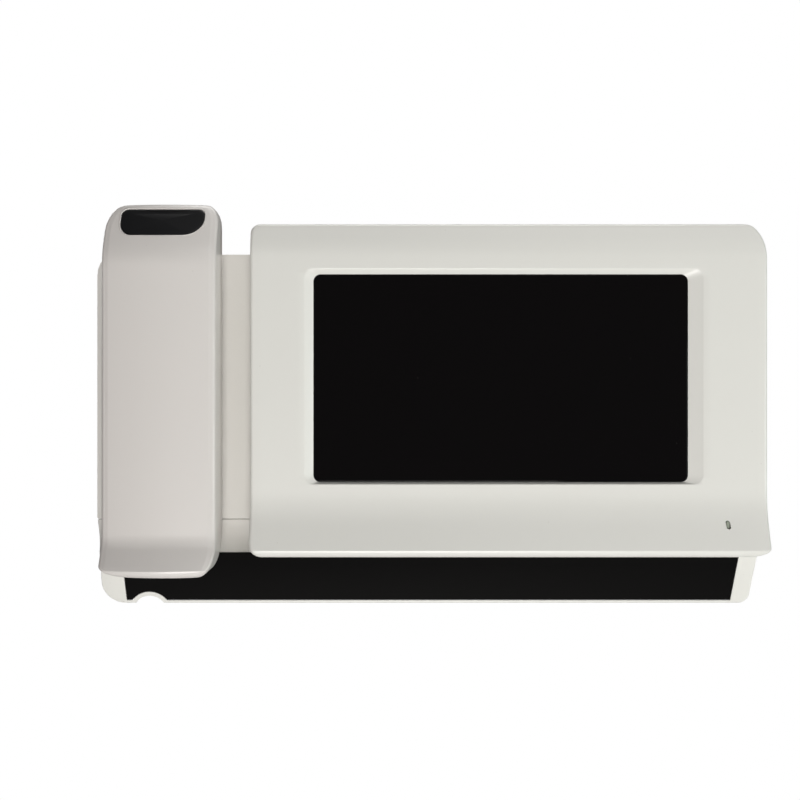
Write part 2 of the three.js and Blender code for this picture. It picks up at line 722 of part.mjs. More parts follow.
cover = cut(cover, lightSlot(0.15));
// the nose and the cradle panel pass under the cover
cover = cut(cover, lengthwise(inset(noseProfile(0), -GAP), -100, BASE.right + GAP));
cover = cut(cover, block(-80, PANEL_RIGHT + GAP, 0, DEPTH.cradle - GAP, -60, BASE.top + GAP));
piece("front_cover", cover, LOOK.shell);

const WALL_INNER = DEPTH.cover + WALL + 0.2; // just behind the cover's front wall
const GLASS_BACK = WALL_INNER + 1.4;
piece(
  "screen_lens",
  join(
    slab(roundedOutline(grown(WINDOW, -0.25), 2.8, 3), WALL_INNER + 0.2, LENS_FRONT - 0.05),
    slab(roundedOutline(grown(WINDOW, 3), 4, 3), GLASS_BACK, WALL_INNER + 0.1),
  ),
  LOOK.blackGloss,
);

/** A flat frame between two depths. */
function ringOf(outer, hole, yBack, yFront) {
  const plate = slab(roundedOutline(outer, 1.5, 2), yBack, yFront);
  return cut(plate, slab(roundedOutline(hole, 1.5, 2), yBack + 1, yFront - 1));
}
const GASKET = { outer: grown(WINDOW, 2.6), hole: grown(WINDOW, 0.4), gap: 0.3, back: 1.1 };
piece(
  "screen_gasket",
  ringOf(GASKET.outer, GASKET.hole, GLASS_BACK + GASKET.back, GLASS_BACK + GASKET.gap),
  LOOK.foam,
);
const LCD = {
  left: -51.95,
  right: 113.05,
  bottom: -38.7,
  top: 61.3,
  front: GLASS_BACK + 1.4,
  thick: 5.2,
};
const lcdBack = LCD.front + LCD.thick;
piece(
  "lcd_module",
  join(
    slab(roundedOutline(LCD, 1, 2), lcdBack, LCD.front),
    block(-20, 80, lcdBack - 0.1, lcdBack + 0.5, -34, -20),
  ),
  LOOK.darkSteel,
);
const frameFront = lcdBack + 0.9;
const frameBack = -28.6;
const EAR = 4.4;
/** An ear of the display frame, from the frame's side out to its screw. */
function frameEar([x, z]) {
  const side = x < 0 ? LCD.left + 3 : LCD.right - 3;
  return block(Math.min(x - EAR, side), Math.max(x + EAR, side), frameBack, frameFront, z - EAR, z + EAR);
}
const lcdHoles = LCD_SCREWS.map(([x, z]) => peg(x, z, -20, -40, 1.7, 10));
const lcdRing = ringOf(grown(LCD, 1.2), grown(LCD, -11), frameBack, frameFront);
piece("lcd_frame", cut(join(lcdRing, ...LCD_SCREWS.map(frameEar)), ...lcdHoles), LOOK.blackPlastic);
screws("lcd_screw", LCD_SCREWS, frameBack + 1.7, 5, -1, SMALL);

// ---- Status light ----
const lightFace = COVER_FORM.front(LIGHT.z);
piece(
  "status_light_pipe",
  join(
    lightSlot(-0.15).intersect(block(100, 140, -36.4, lightFace + 0.15, -60, -40)),
    peg(LIGHT.x, LIGHT.z, -36.2, -38.4, 2.6, 16),
  ),
  LOOK.clear,
);
piece("status_led", peg(LIGHT.x, LIGHT.z, -33.4, -35.9, 1.5, 14), LOOK.clear);
piece("led_board", block(LIGHT.x - 6, LIGHT.x + 6, -31.8, -33, LIGHT.z - 4, LIGHT.z + 5), LOOK.board);

// ---- Electronics ----
const BOARD = { left: -49, right: 63, bottom: -46, top: 51, front: -26.6, back: -25 };
piece(
  "main_board",
  cut(
    join(
      block(BOARD.left, BOARD.right, BOARD.front, BOARD.back, BOARD.bottom, BOARD.top),
      block(-14, 6, BOARD.back - 0.2, -23, 6, 26),
      block(22, 34, BOARD.back - 0.2, -23.2, 14, 22),
      block(20, 44, BOARD.back - 0.2, -19, 34, 40),
      block(-36, -24, BOARD.back - 0.2, -17, 30, 42),
      block(30, 46, BOARD.back - 0.2, -18.5, -16, -6),
      peg(-30, 12, -17, BOARD.back - 0.2, 4, 14),
      peg(-30, 0, -18, BOARD.back - 0.2, 4, 14),
      peg(48, 4, -17, BOARD.back - 0.2, 5, 14),
    ),
    ...BOARD_SCREWS.map(([x, z]) => peg(x, z, -20, -30, 1.7, 10)),
  ),
  LOOK.board,
);
const SMALL_HEAD = SCREW.headHeight * SMALL + 0.1; // a small head and its clearance
screws("board_screw", BOARD_SCREWS, BOARD.front - SMALL_HEAD, 8, 1, SMALL);
piece("lcd_ribbon", block(10, 30, frameBack + 0.5, frameBack + 0.8, -12, 10), LOOK.amber);

const TERMINAL = { front: -24.6, back: -12.6, bottom: -31, top: -19, screwZ: -22, hole: 0.32 };

/** A screw terminal strip on the main board: screw wells behind, wire mouths in its lower side. */
function terminal(name, x0, ways, pitch, material) {
  const { front, back, bottom, top, screwZ } = TERMINAL;
  const half = TERMINAL.hole * pitch;
  let body = block(x0, x0 + ways * pitch, front, back, bottom, top);
  for (let way = 0; way < ways; way++) {
    const x = x0 + (way + 0.5) * pitch;
    const well = peg(x, screwZ, back + 1.6, back - 2.8, half, 10);
    const mouth = block(x - half, x + half, back - 1, back - 4.8, bottom - 2, bottom + 2.6);
    body = cut(body, well, mouth);
  }
  piece(name, body, material);
}
terminal("line_terminal", -21, 6, 5, LOOK.green);
terminal("mains_terminal", 11, 2, 5.6, LOOK.blackPlastic);

const POWER = { left: 72, right: 134, bottom: -33, top: 23, back: -8.5, front: -10.1 };
piece(
  "power_board",
  cut(
    join(
      block(POWER.left, POWER.right, POWER.back, POWER.front, POWER.bottom, POWER.top),
      block(76, 84, -10, -20, 2, 18),
      block(118, 130, -10, -19, -30, -24),
      peg(78, -14, -10, -21, 4, 14),
    ),
    ...POWER_SCREWS.map(([x, z]) => peg(x, z, -4, -12, 1.7, 10)),
  ),
  LOOK.board,
);
screws("power_screw", POWER_SCREWS, POWER.front - SMALL_HEAD, 3.2, 1, SMALL);
piece(
  "power_transformer",
  join(
    block(86, 112, -10.5, -13, -22, 4),
    block(88, 110, -12.9, -24, -20, 2),
    block(86, 112, -23.9, -26, -22, 4),
  ),
  LOOK.amber,
);
piece(
  "filter_capacitor",
  join(peg(123, 4, -10.5, -25.4, 7, 20), rod([123, -25.3, 4], [123, -26, 4], 7, 20, 6.4)),
  LOOK.blackPlastic,
);
piece(
  "loudspeaker",
  join(
    peg(RADIO.x, RADIO.z, BACK_INNER - 0.4, -8.4, RADIO.radius, 28),
    rod([RADIO.x, -8.3, RADIO.z], [RADIO.x, -13, RADIO.z], RADIO.radius - 1.5, 28, 10),
    peg(RADIO.x, RADIO.z, -12.9, -17.4, 9, 24),
  ),
  LOOK.darkSteel,
);

// ---- Handset ----
const HANDSET_FORM = {
  box: HANDSET,
  corners: { bl: [14, 5], br: [7, 11], tr: [5.4, 8.5], tl: [8, 12] },
  back: (z) => DEPTH.handsetBack - Math.min(7.5, bend(-z, 50, 57, 0.95)),
  front: (z) => DEPTH.handset + bend(z, 57.5, 68, 0.62) - bend(-z, 53, 59, 0.75),
  crown: 2.2,
  across: 6,
  rim: 3,
  edge: 1.7,
  levels: [
    ...[-65, -62, -60.5, -59, -57.5, -56, -54.5, -53, -51.5, -50, -47],
    ...evenly(57.5, 68, 4),
    ...[72, 75, 78, 80.5],
  ],
};
const handsetHollow = waveBody(HANDSET_FORM, WALL);
const beforeSplit = block(-200, 200, DEPTH.handsetSplit - 0.2, -100, -200, 200);
const behindSplit = block(-200, 200, DEPTH.handsetSplit + 0.2, 0, -200, 200);
const handsetBody = waveBody(HANDSET_FORM);
const handsetSkin = waveBody(HANDSET_FORM, 1);
const INSERT = { left: -127.3, right: -92.7, bottom: 70.4, top: 81.7 };
const INSERT_THICK = 1.4;
const INSERT_CORNERS = { bl: [4.6, 5.6], br: [8.7, 7.5], tr: [2.8, 2.4], tl: [3.1, 2.7] };
const insertOutline = (margin) => softOutline(grown(INSERT, margin), INSERT_CORNERS, 6);

/** A layer of the handset's face between two depths under its surface. */
const faceLayer = (outer, under) => cut(waveBody(HANDSET_FORM, outer), waveBody(HANDSET_FORM, under, 0));
let handsetFront = cut(handsetBody, handsetHollow).intersect(beforeSplit);
const insertBed = cut(
  slab(insertOutline(0.3), -28, -60),
  waveBody(HANDSET_FORM, INSERT_THICK + 0.2, 0),
);
const EAR_Z = 61.5; // height of the receiver
const MIC_Z = -43.5; // height of the microphone
const HANDSET_SOCKET = { back: -35.9, bottom: HANDSET.bottom + 0.6 };
const HANDSET_HEAD_Y = -25.6; // outer face of the screw heads in the handset
const frontBosses = HANDSET_SCREWS.map(([x, z]) => peg(x, z, DEPTH.handsetSplit - 0.4, -60, 3));
handsetFront = join(handsetFront, ...frontBosses.map((solid) => solid.intersect(handsetSkin)));
handsetFront = cut(handsetFront, insertBed);
handsetFront = cut(handsetFront, ...HANDSET_SCREWS.map(([x, z]) => peg(x, z, -20, -39, 1.4, 10)));
handsetFront = cut(
  handsetFront,
  block(
    HANDSET_X - SOCKET.width / 2 - GAP,
    HANDSET_X + SOCKET.width / 2 + GAP,
    HANDSET_SOCKET.back + GAP,
    HANDSET_SOCKET.back - SOCKET.deep - GAP,
    HANDSET.bottom - 20,
    HANDSET.bottom + 4.6,
  ),
);
piece("handset_front_shell", handsetFront, LOOK.shell);
const insertSkin = faceLayer(0.1, INSERT_THICK).intersect(slab(insertOutline(0), -28, -60));
piece("ear_insert", insertSkin, LOOK.blackPlastic);

let handsetRear = cut(handsetBody, handsetHollow).intersect(behindSplit);
const inFrontOfBack = block(-200, 200, DEPTH.handsetBack - 0.1, -100, -200, 200);
for (const z of PEGS) {
  const tube = rod(alongLift(z, 1.5), alongLift(z, 13), PEG.radius + WALL, 24);
  handsetRear = join(handsetRear, tube.intersect(inFrontOfBack));
}
for (const [x, z] of HANDSET_SCREWS) {
  handsetRear = join(handsetRear, peg(x, z, -26, DEPTH.handsetSplit + 0.4, 3.2));
}
for (const z of PEGS) {
  const end = alongLift(z, PEG.length + PEG.clearance);
  handsetRear = cut(handsetRear, rod(alongLift(z, -6), end, PEG.radius + PEG.clearance, 24));
}
for (const [x, z] of HANDSET_SCREWS) {
  handsetRear = cut(handsetRear, peg(x, z, -20, -27.4, 2.5, 12), peg(x, z, -20, -35, 1.5, 10));
}
const SOUND = { ring: 5, count: 6, radius: 1.1 }; // holes in front of the receiver
const soundHole = (dx, dz) => peg(HANDSET_X + dx, EAR_Z + dz, -20, -30, SOUND.radius, 8);
handsetRear = cut(handsetRear, soundHole(0, 0));
for (let hole = 0; hole < SOUND.count; hole++) {
  const turn = (hole / SOUND.count) * 2 * Math.PI;
  handsetRear = cut(handsetRear, soundHole(SOUND.ring * Math.cos(turn), SOUND.ring * Math.sin(turn)));
}
const micSlot = block(HANDSET_X - 4, HANDSET_X + 4, -20, -30, MIC_Z - 0.8, MIC_Z + 0.8);
piece("handset_rear_shell", cut(handsetRear, micSlot), LOOK.shell);

const HANDSET_INNER = DEPTH.handsetBack - WALL;
piece(
  "receiver_gasket",
  cut(
    peg(HANDSET_X, EAR_Z, HANDSET_INNER - 0.3, HANDSET_INNER - 1.3, 13.5, 24),
    peg(HANDSET_X, EAR_Z, HANDSET_INNER, HANDSET_INNER - 2, 10.5, 20),
  ),
  LOOK.foam,
);
piece(
  "receiver_capsule",
  join(
    peg(HANDSET_X, EAR_Z, HANDSET_INNER - 1.6, HANDSET_INNER - 5, 13.5, 24),
    peg(HANDSET_X, EAR_Z, HANDSET_INNER - 4.9, HANDSET_INNER - 8, 8, 20),
  ),
  LOOK.darkSteel,
);
piece(
  "mic_boot",
  cut(
    peg(HANDSET_X, MIC_Z, HANDSET_INNER - 0.3, HANDSET_INNER - 6, 6, 20),
    peg(HANDSET_X, MIC_Z, HANDSET_INNER - 1.4, HANDSET_INNER - 7, 5, 20),
    block(HANDSET_X - 3, HANDSET_X + 3, 0, HANDSET_INNER - 3, MIC_Z - 0.8, MIC_Z + 0.8),
  ),
  LOOK.rubber,
);
const MIC = { back: HANDSET_INNER - 1.8, front: HANDSET_INNER - 6.2, radius: 4.6 };
piece("mic_capsule", peg(HANDSET_X, MIC_Z, MIC.back, MIC.front, MIC.radius, 18), LOOK.darkSteel);
const WEIGHT = { half: 10, back: -38.5, front: -46.5, bottom: -9, top: 14 };
piece(
  "handset_weight",
  block(
    HANDSET_X - WEIGHT.half,
    HANDSET_X + WEIGHT.half,
    WEIGHT.back,
    WEIGHT.front,
    WEIGHT.bottom,
    WEIGHT.top,
  ),
  LOOK.darkSteel,
);
modularSocket("handset_cord_socket", HANDSET_X, HANDSET_SOCKET.back, HANDSET_SOCKET.bottom);
screws("handset_screw", HANDSET_SCREWS, HANDSET_HEAD_Y, 9, -1, SMALL);

export default group;
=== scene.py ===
# %% [markdown]
# # A wall-hung video intercom monitor, dressed around its mechanical frame
# The frame holds every sub-part at its real size and place. This lesson adds what the eye needs:
# fine moulded surfaces where the frame is only faceted, and a procedural finish for every piece.
# Everything is in metres, X to the right, Z up, and the front of the monitor faces -Y.

# %% Load the frame
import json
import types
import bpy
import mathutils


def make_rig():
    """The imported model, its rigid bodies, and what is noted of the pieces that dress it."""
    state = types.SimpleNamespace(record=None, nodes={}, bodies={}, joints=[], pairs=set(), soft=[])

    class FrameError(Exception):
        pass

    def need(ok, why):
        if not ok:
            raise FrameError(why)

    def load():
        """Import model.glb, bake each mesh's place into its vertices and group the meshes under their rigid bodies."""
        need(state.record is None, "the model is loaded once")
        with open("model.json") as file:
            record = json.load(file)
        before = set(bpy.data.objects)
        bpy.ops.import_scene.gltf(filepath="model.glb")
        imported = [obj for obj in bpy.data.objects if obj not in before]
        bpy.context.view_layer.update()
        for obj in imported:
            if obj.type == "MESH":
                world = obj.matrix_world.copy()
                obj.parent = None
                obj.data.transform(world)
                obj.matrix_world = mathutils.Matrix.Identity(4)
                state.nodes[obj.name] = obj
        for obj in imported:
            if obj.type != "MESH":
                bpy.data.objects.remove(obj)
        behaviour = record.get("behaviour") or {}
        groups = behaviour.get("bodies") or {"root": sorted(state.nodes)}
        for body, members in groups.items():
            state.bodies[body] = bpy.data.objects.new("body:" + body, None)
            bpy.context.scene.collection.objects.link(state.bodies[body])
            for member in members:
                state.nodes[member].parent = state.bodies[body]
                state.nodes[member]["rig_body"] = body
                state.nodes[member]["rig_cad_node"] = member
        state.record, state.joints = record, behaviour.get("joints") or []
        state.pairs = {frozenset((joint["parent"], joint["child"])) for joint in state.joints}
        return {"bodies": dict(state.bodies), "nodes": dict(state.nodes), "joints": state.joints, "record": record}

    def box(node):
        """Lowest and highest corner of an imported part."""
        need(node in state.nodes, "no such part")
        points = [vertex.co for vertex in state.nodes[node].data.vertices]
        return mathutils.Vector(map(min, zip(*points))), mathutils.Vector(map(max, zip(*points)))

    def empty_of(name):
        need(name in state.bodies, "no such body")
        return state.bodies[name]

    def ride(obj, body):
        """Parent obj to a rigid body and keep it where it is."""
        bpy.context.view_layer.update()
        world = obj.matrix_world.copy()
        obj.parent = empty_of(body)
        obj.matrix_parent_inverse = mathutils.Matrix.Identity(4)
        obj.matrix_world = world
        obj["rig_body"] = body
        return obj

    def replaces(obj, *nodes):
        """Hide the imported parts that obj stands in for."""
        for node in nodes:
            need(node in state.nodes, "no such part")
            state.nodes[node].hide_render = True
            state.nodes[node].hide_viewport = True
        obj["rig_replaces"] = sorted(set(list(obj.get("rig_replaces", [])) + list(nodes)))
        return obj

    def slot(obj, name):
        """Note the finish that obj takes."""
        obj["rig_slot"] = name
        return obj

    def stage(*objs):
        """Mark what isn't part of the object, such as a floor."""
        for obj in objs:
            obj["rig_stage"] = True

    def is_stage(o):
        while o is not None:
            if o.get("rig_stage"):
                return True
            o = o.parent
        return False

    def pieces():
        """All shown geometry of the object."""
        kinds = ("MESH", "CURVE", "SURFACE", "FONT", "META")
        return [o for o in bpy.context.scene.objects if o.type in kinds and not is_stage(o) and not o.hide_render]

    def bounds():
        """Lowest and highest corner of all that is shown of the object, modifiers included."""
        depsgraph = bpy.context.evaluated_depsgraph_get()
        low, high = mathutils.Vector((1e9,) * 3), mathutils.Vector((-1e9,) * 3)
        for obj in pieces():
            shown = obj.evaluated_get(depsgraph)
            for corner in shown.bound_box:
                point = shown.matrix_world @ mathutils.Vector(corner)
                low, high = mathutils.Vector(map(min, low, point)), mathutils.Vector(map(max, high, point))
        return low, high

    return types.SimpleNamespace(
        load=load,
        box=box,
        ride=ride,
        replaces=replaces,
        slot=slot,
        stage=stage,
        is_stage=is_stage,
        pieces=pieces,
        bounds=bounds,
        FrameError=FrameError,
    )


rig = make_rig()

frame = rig.load()
cad_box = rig.bounds()

import json
import math

import bmesh
import bpy
import numpy as np
from mathutils import Vector

MM = 0.001
nodes = frame["nodes"]
bodies = frame["record"]["behaviour"]["bodies"]
body_of_node = {node: body for body, names in bodies.items() for node in names}
slot_of_node = {row["node"]: row["material_slot"] for row in frame["record"]["subparts"]}
print("frame:", len(nodes), "nodes, box", [[round(v, 4) for v in corner] for corner in cad_box])

# %% [markdown]
# ## Camera, light and floor
# A glossy off-white object needs big soft lights, because a small lamp would show as a hard spot on
# the plastic. The lights could be textured planes or an environment; a few area lights and an even
# sky are simplest and easy to read. A low lamp straight ahead reaches into the gap beside the
# handset, and a second one at the right makes that side the brighter one. Faint lights above and
# behind keep the top edges and the back readable. The camera stands square in front of the wall,
# 0.6 m from the cover.

# %% Camera
COVER_FRONT = -42 * MM
CAMERA_X, CAMERA_Z = -11.3 * MM, 2.25 * MM
CAMERA_DISTANCE = 0.6
FOCAL, SENSOR_WIDTH = 65.16, 36
NEAREST = 0.01

camera_data = bpy.data.cameras.new("camera")
camera_data.lens = FOCAL
camera_data.sensor_width = SENSOR_WIDTH
camera_data.clip_start = NEAREST
camera = bpy.data.objects.new("camera", camera_data)
camera.location = (CAMERA_X, COVER_FRONT - CAMERA_DISTANCE, CAMERA_Z)
camera.rotation_euler = (math.radians(90), 0, 0)
bpy.context.scene.collection.objects.link(camera)
bpy.context.scene.camera = camera
bpy.context.scene.view_settings.view_transform = "Standard"
print("camera at", [round(v, 4) for v in camera.location])

# %% Soft lights and an even sky
def soft_light(name, place, target, size, watts, tone):
    """A square area light at a place, turned towards a target."""
    data = bpy.data.lights.new(name, "AREA")
    data.shape = "SQUARE"
    data.size = size
    data.energy = watts
    data.color = tone
    lamp = bpy.data.objects.new(name, data)
    lamp.location = place
    lamp.rotation_euler = (lamp.location - Vector(target)).to_track_quat("Z", "Y").to_euler()
    bpy.context.scene.collection.objects.link(lamp)
    return lamp


CENTRE = (0.0, -0.03, 0.0)
lamps = [
    soft_light("key_light", (1.3, -0.95, -0.25), CENTRE, 0.7, 8.5, (0.90, 1.0, 0.97)),
    soft_light("front_light", (-0.02, -1.5, -0.75), CENTRE, 0.5, 14.5, (1.0, 0.965, 0.945)),
    soft_light("top_light", (0.5, -1.1, 1.1), CENTRE, 0.9, 3.5, (1.0, 0.98, 0.96)),
    soft_light("rim_light", (0.1, 0.4, 1.3), CENTRE, 0.8, 10.0, (1.0, 0.99, 0.97)),
    soft_light("back_light", (-0.9, 1.4, 0.5), CENTRE, 0.8, 5.0, (1.0, 0.99, 0.98)),
]

# The sky is white where the camera sees it, and faint where it lights or is mirrored.
SKY_LIGHT, SKY_MIRRORED = 0.14, 0.06
sky = bpy.data.worlds.new("studio")
sky.use_nodes = True
bpy.context.scene.world = sky
tree = sky.node_tree
backdrop = tree.nodes["Background"]
backdrop.inputs["Color"].default_value = (1, 1, 1, 1)
paths = tree.nodes.new("ShaderNodeLightPath")
shiny = tree.nodes.new("ShaderNodeMapRange")
shiny.inputs["To Min"].default_value = SKY_LIGHT
shiny.inputs["To Max"].default_value = SKY_MIRRORED
seen = tree.nodes.new("ShaderNodeMath")
seen.operation = "MAXIMUM"
tree.links.new(paths.outputs["Is Glossy Ray"], shiny.inputs["Value"])
tree.links.new(shiny.outputs["Result"], seen.inputs[0])
tree.links.new(paths.outputs["Is Camera Ray"], seen.inputs[1])
tree.links.new(seen.outputs["Value"], backdrop.inputs["Strength"])
print("lights:", [lamp.name for lamp in lamps], "watts:", sum(lamp.data.energy for lamp in lamps))

# %% [markdown]
# ## Finishes
# Every finish is a Principled shader fed by a few shared groups. A group is built once and reused
# with its own values, so the moulded texture, the tone drift and the fine dust are the same idea
# everywhere. All of them read Object coordinates, which are metres on every piece here, so a scale
# of 1000 gives features of about a millimetre.

# %% Shared groups: moulded skin and fine dust
def new_group(name, inputs, outputs):
    """An empty shader group with named float or colour sockets, and its input and output nodes."""
    group = bpy.data.node_groups.new(name, "ShaderNodeTree")
    for label, kind, value in inputs:
        socket = group.interface.new_socket(label, in_out="INPUT", socket_type=kind)
        socket.default_value = value
    for label, kind in outputs:
        group.interface.new_socket(label, in_out="OUTPUT", socket_type=kind)
    start = group.nodes.new("NodeGroupInput")
    end = group.nodes.new("NodeGroupOutput")
    return group, start, end


def add_noise(tree, coordinates, detail=3.0, roughness=0.55):
    """A noise texture on the given coordinates, and its node."""
    noise = tree.nodes.new("ShaderNodeTexNoise")
    noise.inputs["Detail"].default_value = detail
    noise.inputs["Roughness"].default_value = roughness
    tree.links.new(coordinates, noise.inputs["Vector"])
    return noise


def add_math(tree, operation, first, second):
    """A Math node with two inputs, each a socket or a number."""
    node = tree.nodes.new("ShaderNodeMath")
    node.operation = operation
    for socket, value in zip(node.inputs, (first, second)):
        if hasattr(value, "is_output"):
            tree.links.new(value, socket)
        else:
            socket.default_value = value
    return node.outputs["Value"]


def add_ramp(tree, value, low, high, to_low=0.0, to_high=1.0):
    """The value stretched from low..high to to_low..to_high and held at the ends."""
    node = tree.nodes.new("ShaderNodeMapRange")
    limits = {"From Min": low, "From Max": high, "To Min": to_low, "To Max": to_high}
    for label, number in limits.items():
        node.inputs[label].default_value = number
    tree.links.new(value, node.inputs["Value"])
    return node.outputs["Result"]


FLOAT = "NodeSocketFloat"
COLOUR = "NodeSocketColor"
DRIFT_SCALE, PATCH_SCALE = 9.0, 42.0
SPECK_RADIUS = (0.03, 0.09)
SPECK_RARITY = (0.93, 0.95)


def build_skin_group():
    """Moulded skin: slow drift of tone, broad gloss patches and a fine bump whose size is an input."""
    group, start, end = new_group(
        "moulded_skin",
        [
            ("Tone", COLOUR, (0.8, 0.8, 0.8, 1)),
            ("Tone Drift", FLOAT, 0.02),
            ("Gloss", FLOAT, 0.3),
            ("Gloss Drift", FLOAT, 0.05),
            ("Grain Scale", FLOAT, 900.0),
        ],
        [("Color", COLOUR), ("Roughness", FLOAT), ("Height", FLOAT)],
    )
    place = group.nodes.new("ShaderNodeTexCoord").outputs["Object"]
    slow = add_noise(group, place, 2.0)
    slow.inputs["Scale"].default_value = DRIFT_SCALE
    patch = add_noise(group, place, 4.0)
    patch.inputs["Scale"].default_value = PATCH_SCALE
    grain = add_noise(group, place, 2.0, 0.5)
    group.links.new(start.outputs["Grain Scale"], grain.inputs["Scale"])
    drift = add_math(group, "MULTIPLY", add_math(group, "SUBTRACT", slow.outputs["Fac"], 0.5), 2.0)
    tone_shift = add_math(group, "MULTIPLY", drift, start.outputs["Tone Drift"])
    lighter = add_math(group, "ADD", tone_shift, 1.0)
    tinted = group.nodes.new("ShaderNodeVectorMath")
    tinted.operation = "SCALE"
    group.links.new(start.outputs["Tone"], tinted.inputs[0])
    group.links.new(lighter, tinted.inputs["Scale"])
    uneven = add_math(group, "MULTIPLY", add_math(group, "SUBTRACT", patch.outputs["Fac"], 0.5), 2.0)
    gloss_shift = add_math(group, "MULTIPLY", uneven, start.outputs["Gloss Drift"])
    gloss = add_math(group, "ADD", gloss_shift, start.outputs["Gloss"])
    group.links.new(tinted.outputs["Vector"], end.inputs["Color"])
    group.links.new(gloss, end.inputs["Roughness"])
    group.links.new(grain.outputs["Fac"], end.inputs["Height"])
    return group


def build_dust_group():
    """Sparse specks of settled dust: one where a fine cell noise peaks, zero elsewhere."""
    group, start, end = new_group(
        "fine_dust", [("Amount", FLOAT, 0.5), ("Speck Scale", FLOAT, 260.0)], [("Mask", FLOAT)]
    )
    place = group.nodes.new("ShaderNodeTexCoord").outputs["Object"]
    cells = group.nodes.new("ShaderNodeTexVoronoi")
    group.links.new(place, cells.inputs["Vector"])
    group.links.new(start.outputs["Speck Scale"], cells.inputs["Scale"])
    near = add_ramp(group, cells.outputs["Distance"], *SPECK_RADIUS, 1.0, 0.0)
    pick = group.nodes.new("ShaderNodeSeparateColor")
    group.links.new(cells.outputs["Color"], pick.inputs["Color"])
    rare = add_ramp(group, pick.outputs["Red"], *SPECK_RARITY)
    speck = add_math(group, "MULTIPLY", near, rare)
    mask = add_math(group, "MULTIPLY", speck, start.outputs["Amount"])
    group.links.new(mask, end.inputs["Mask"])
    return group


SKIN = build_skin_group()
DUST = build_dust_group()
print("shared groups:", SKIN.name, DUST.name)

# %% [markdown]
# ## The plastic and the blacks
# The shells are one warm off-white moulding plastic with a polished skin: a little tone drift, a
# hint of grain far finer than a millimetre and a thin clear coat. The strip and the window are
# polished black: what makes them look real is not the colour but the faint haze of fingers and fine
# scratches in the roughness. The handset takes a darker, warmer copy of the same plastic: painted
# shade, for the lesser light that falls on it.

# %% A moulded finish from the shared groups
SKIN_DEPTH = 0.2 * MM
COAT_GLOSS = 0.12


def moulded(name, tone, gloss, **extra):
    """A plastic or rubber finish: skin group into colour, roughness and bump, dust specks on top."""
    settings = {
        "drift": 0.015,
        "gloss_drift": 0.05,
        "grain": 900.0,
        "bump": 0.02,
        "coat": 0.0,
        "specular": 0.5,
        "dust": 0.25,
        "dust_tone": (0.42, 0.40, 0.36, 1),
    }
    settings.update(extra)
    material = bpy.data.materials.new(name)
    material.use_nodes = True
    tree = material.node_tree
    shader = tree.nodes["Principled BSDF"]
    skin = tree.nodes.new("ShaderNodeGroup")
    skin.node_tree = SKIN
    skin.inputs["Tone"].default_value = (*tone, 1)
    skin.inputs["Tone Drift"].default_value = settings["drift"]
    skin.inputs["Gloss"].default_value = gloss
    skin.inputs["Gloss Drift"].default_value = settings["gloss_drift"]
    skin.inputs["Grain Scale"].default_value = settings["grain"]
    dust = tree.nodes.new("ShaderNodeGroup")
    dust.node_tree = DUST
    dust.inputs["Amount"].default_value = settings["dust"]
    dusty = tree.nodes.new("ShaderNodeMix")
    dusty.data_type = "RGBA"
    dusty.inputs["B"].default_value = settings["dust_tone"]
    tree.links.new(dust.outputs["Mask"], dusty.inputs["Factor"])
    tree.links.new(skin.outputs["Color"], dusty.inputs["A"])
    tree.links.new(dusty.outputs["Result"], shader.inputs["Base Color"])
    tree.links.new(skin.outputs["Roughness"], shader.inputs["Roughness"])
    bump = tree.nodes.new("ShaderNodeBump")
    bump.inputs["Strength"].default_value = settings["bump"]
    bump.inputs["Distance"].default_value = SKIN_DEPTH
    tree.links.new(skin.outputs["Height"], bump.inputs["Height"])
    tree.links.new(bump.outputs["Normal"], shader.inputs["Normal"])
    shader.inputs["Coat Weight"].default_value = settings["coat"]
    shader.inputs["Coat Roughness"].default_value = COAT_GLOSS
    shader.inputs["Specular IOR Level"].default_value = settings["specular"]
    return material


BLACK_STRIP, BLACK_WINDOW = (0.003, 0.0027, 0.0027), (0.0035, 0.003, 0.0032)
SHELL_SKIN = {"bump": 0.05, "coat": 0.08, "drift": 0.012}
STRIP_SKIN = {"gloss_drift": 0.02, "bump": 0.01, "specular": 0.12, "dust": 0.03}
WINDOW_SKIN = {"gloss_drift": 0.015, "bump": 0.006, "specular": 0.25, "dust": 0.03}
INSERT_SKIN = {"bump": 0.1, "grain": 2200.0, "specular": 0.35, "dust": 0.05}
FINISH = {
    "shell": moulded("shell_plastic", (0.80, 0.79, 0.75), 0.33, **SHELL_SKIN),
    "black_gloss": moulded("strip_black", BLACK_STRIP, 0.06, **STRIP_SKIN),
    "black_glass": moulded("window_black", BLACK_WINDOW, 0.05, **WINDOW_SKIN),
    "insert_black": moulded("insert_black", (0.008, 0.008, 0.009), 0.3, **INSERT_SKIN),
    "black_plastic": moulded("inner_black", (0.022, 0.022, 0.024), 0.48, bump=0.3, grain=2600.0),
    "rubber": moulded("pad_rubber", (0.025, 0.025, 0.026), 0.75, bump=0.4, grain=1800.0),
    "foam": moulded("gasket_foam", (0.04, 0.04, 0.042), 0.95, bump=1.0, grain=3200.0),
    "clear_plastic": moulded("light_pipe_plastic", (0.30, 0.33, 0.27), 0.22, bump=0.05, dust=0.0),
    "green_plastic": moulded("terminal_green", (0.05, 0.33, 0.12), 0.42, bump=0.2, grain=2200.0),
    "copper_film": moulded("amber_film", (0.55, 0.27, 0.07), 0.35, drift=0.06, bump=0.1, grain=500.0),
}
# Painted shade: the handset's finish is the shell plastic made darker and warmer, standing in for the lesser light on
# it.
HANDSET_SHADED_PLASTIC = moulded("handset_plastic", (0.725, 0.69, 0.665), 0.33, **SHELL_SKIN)
print("moulded finishes:", sorted(FINISH))
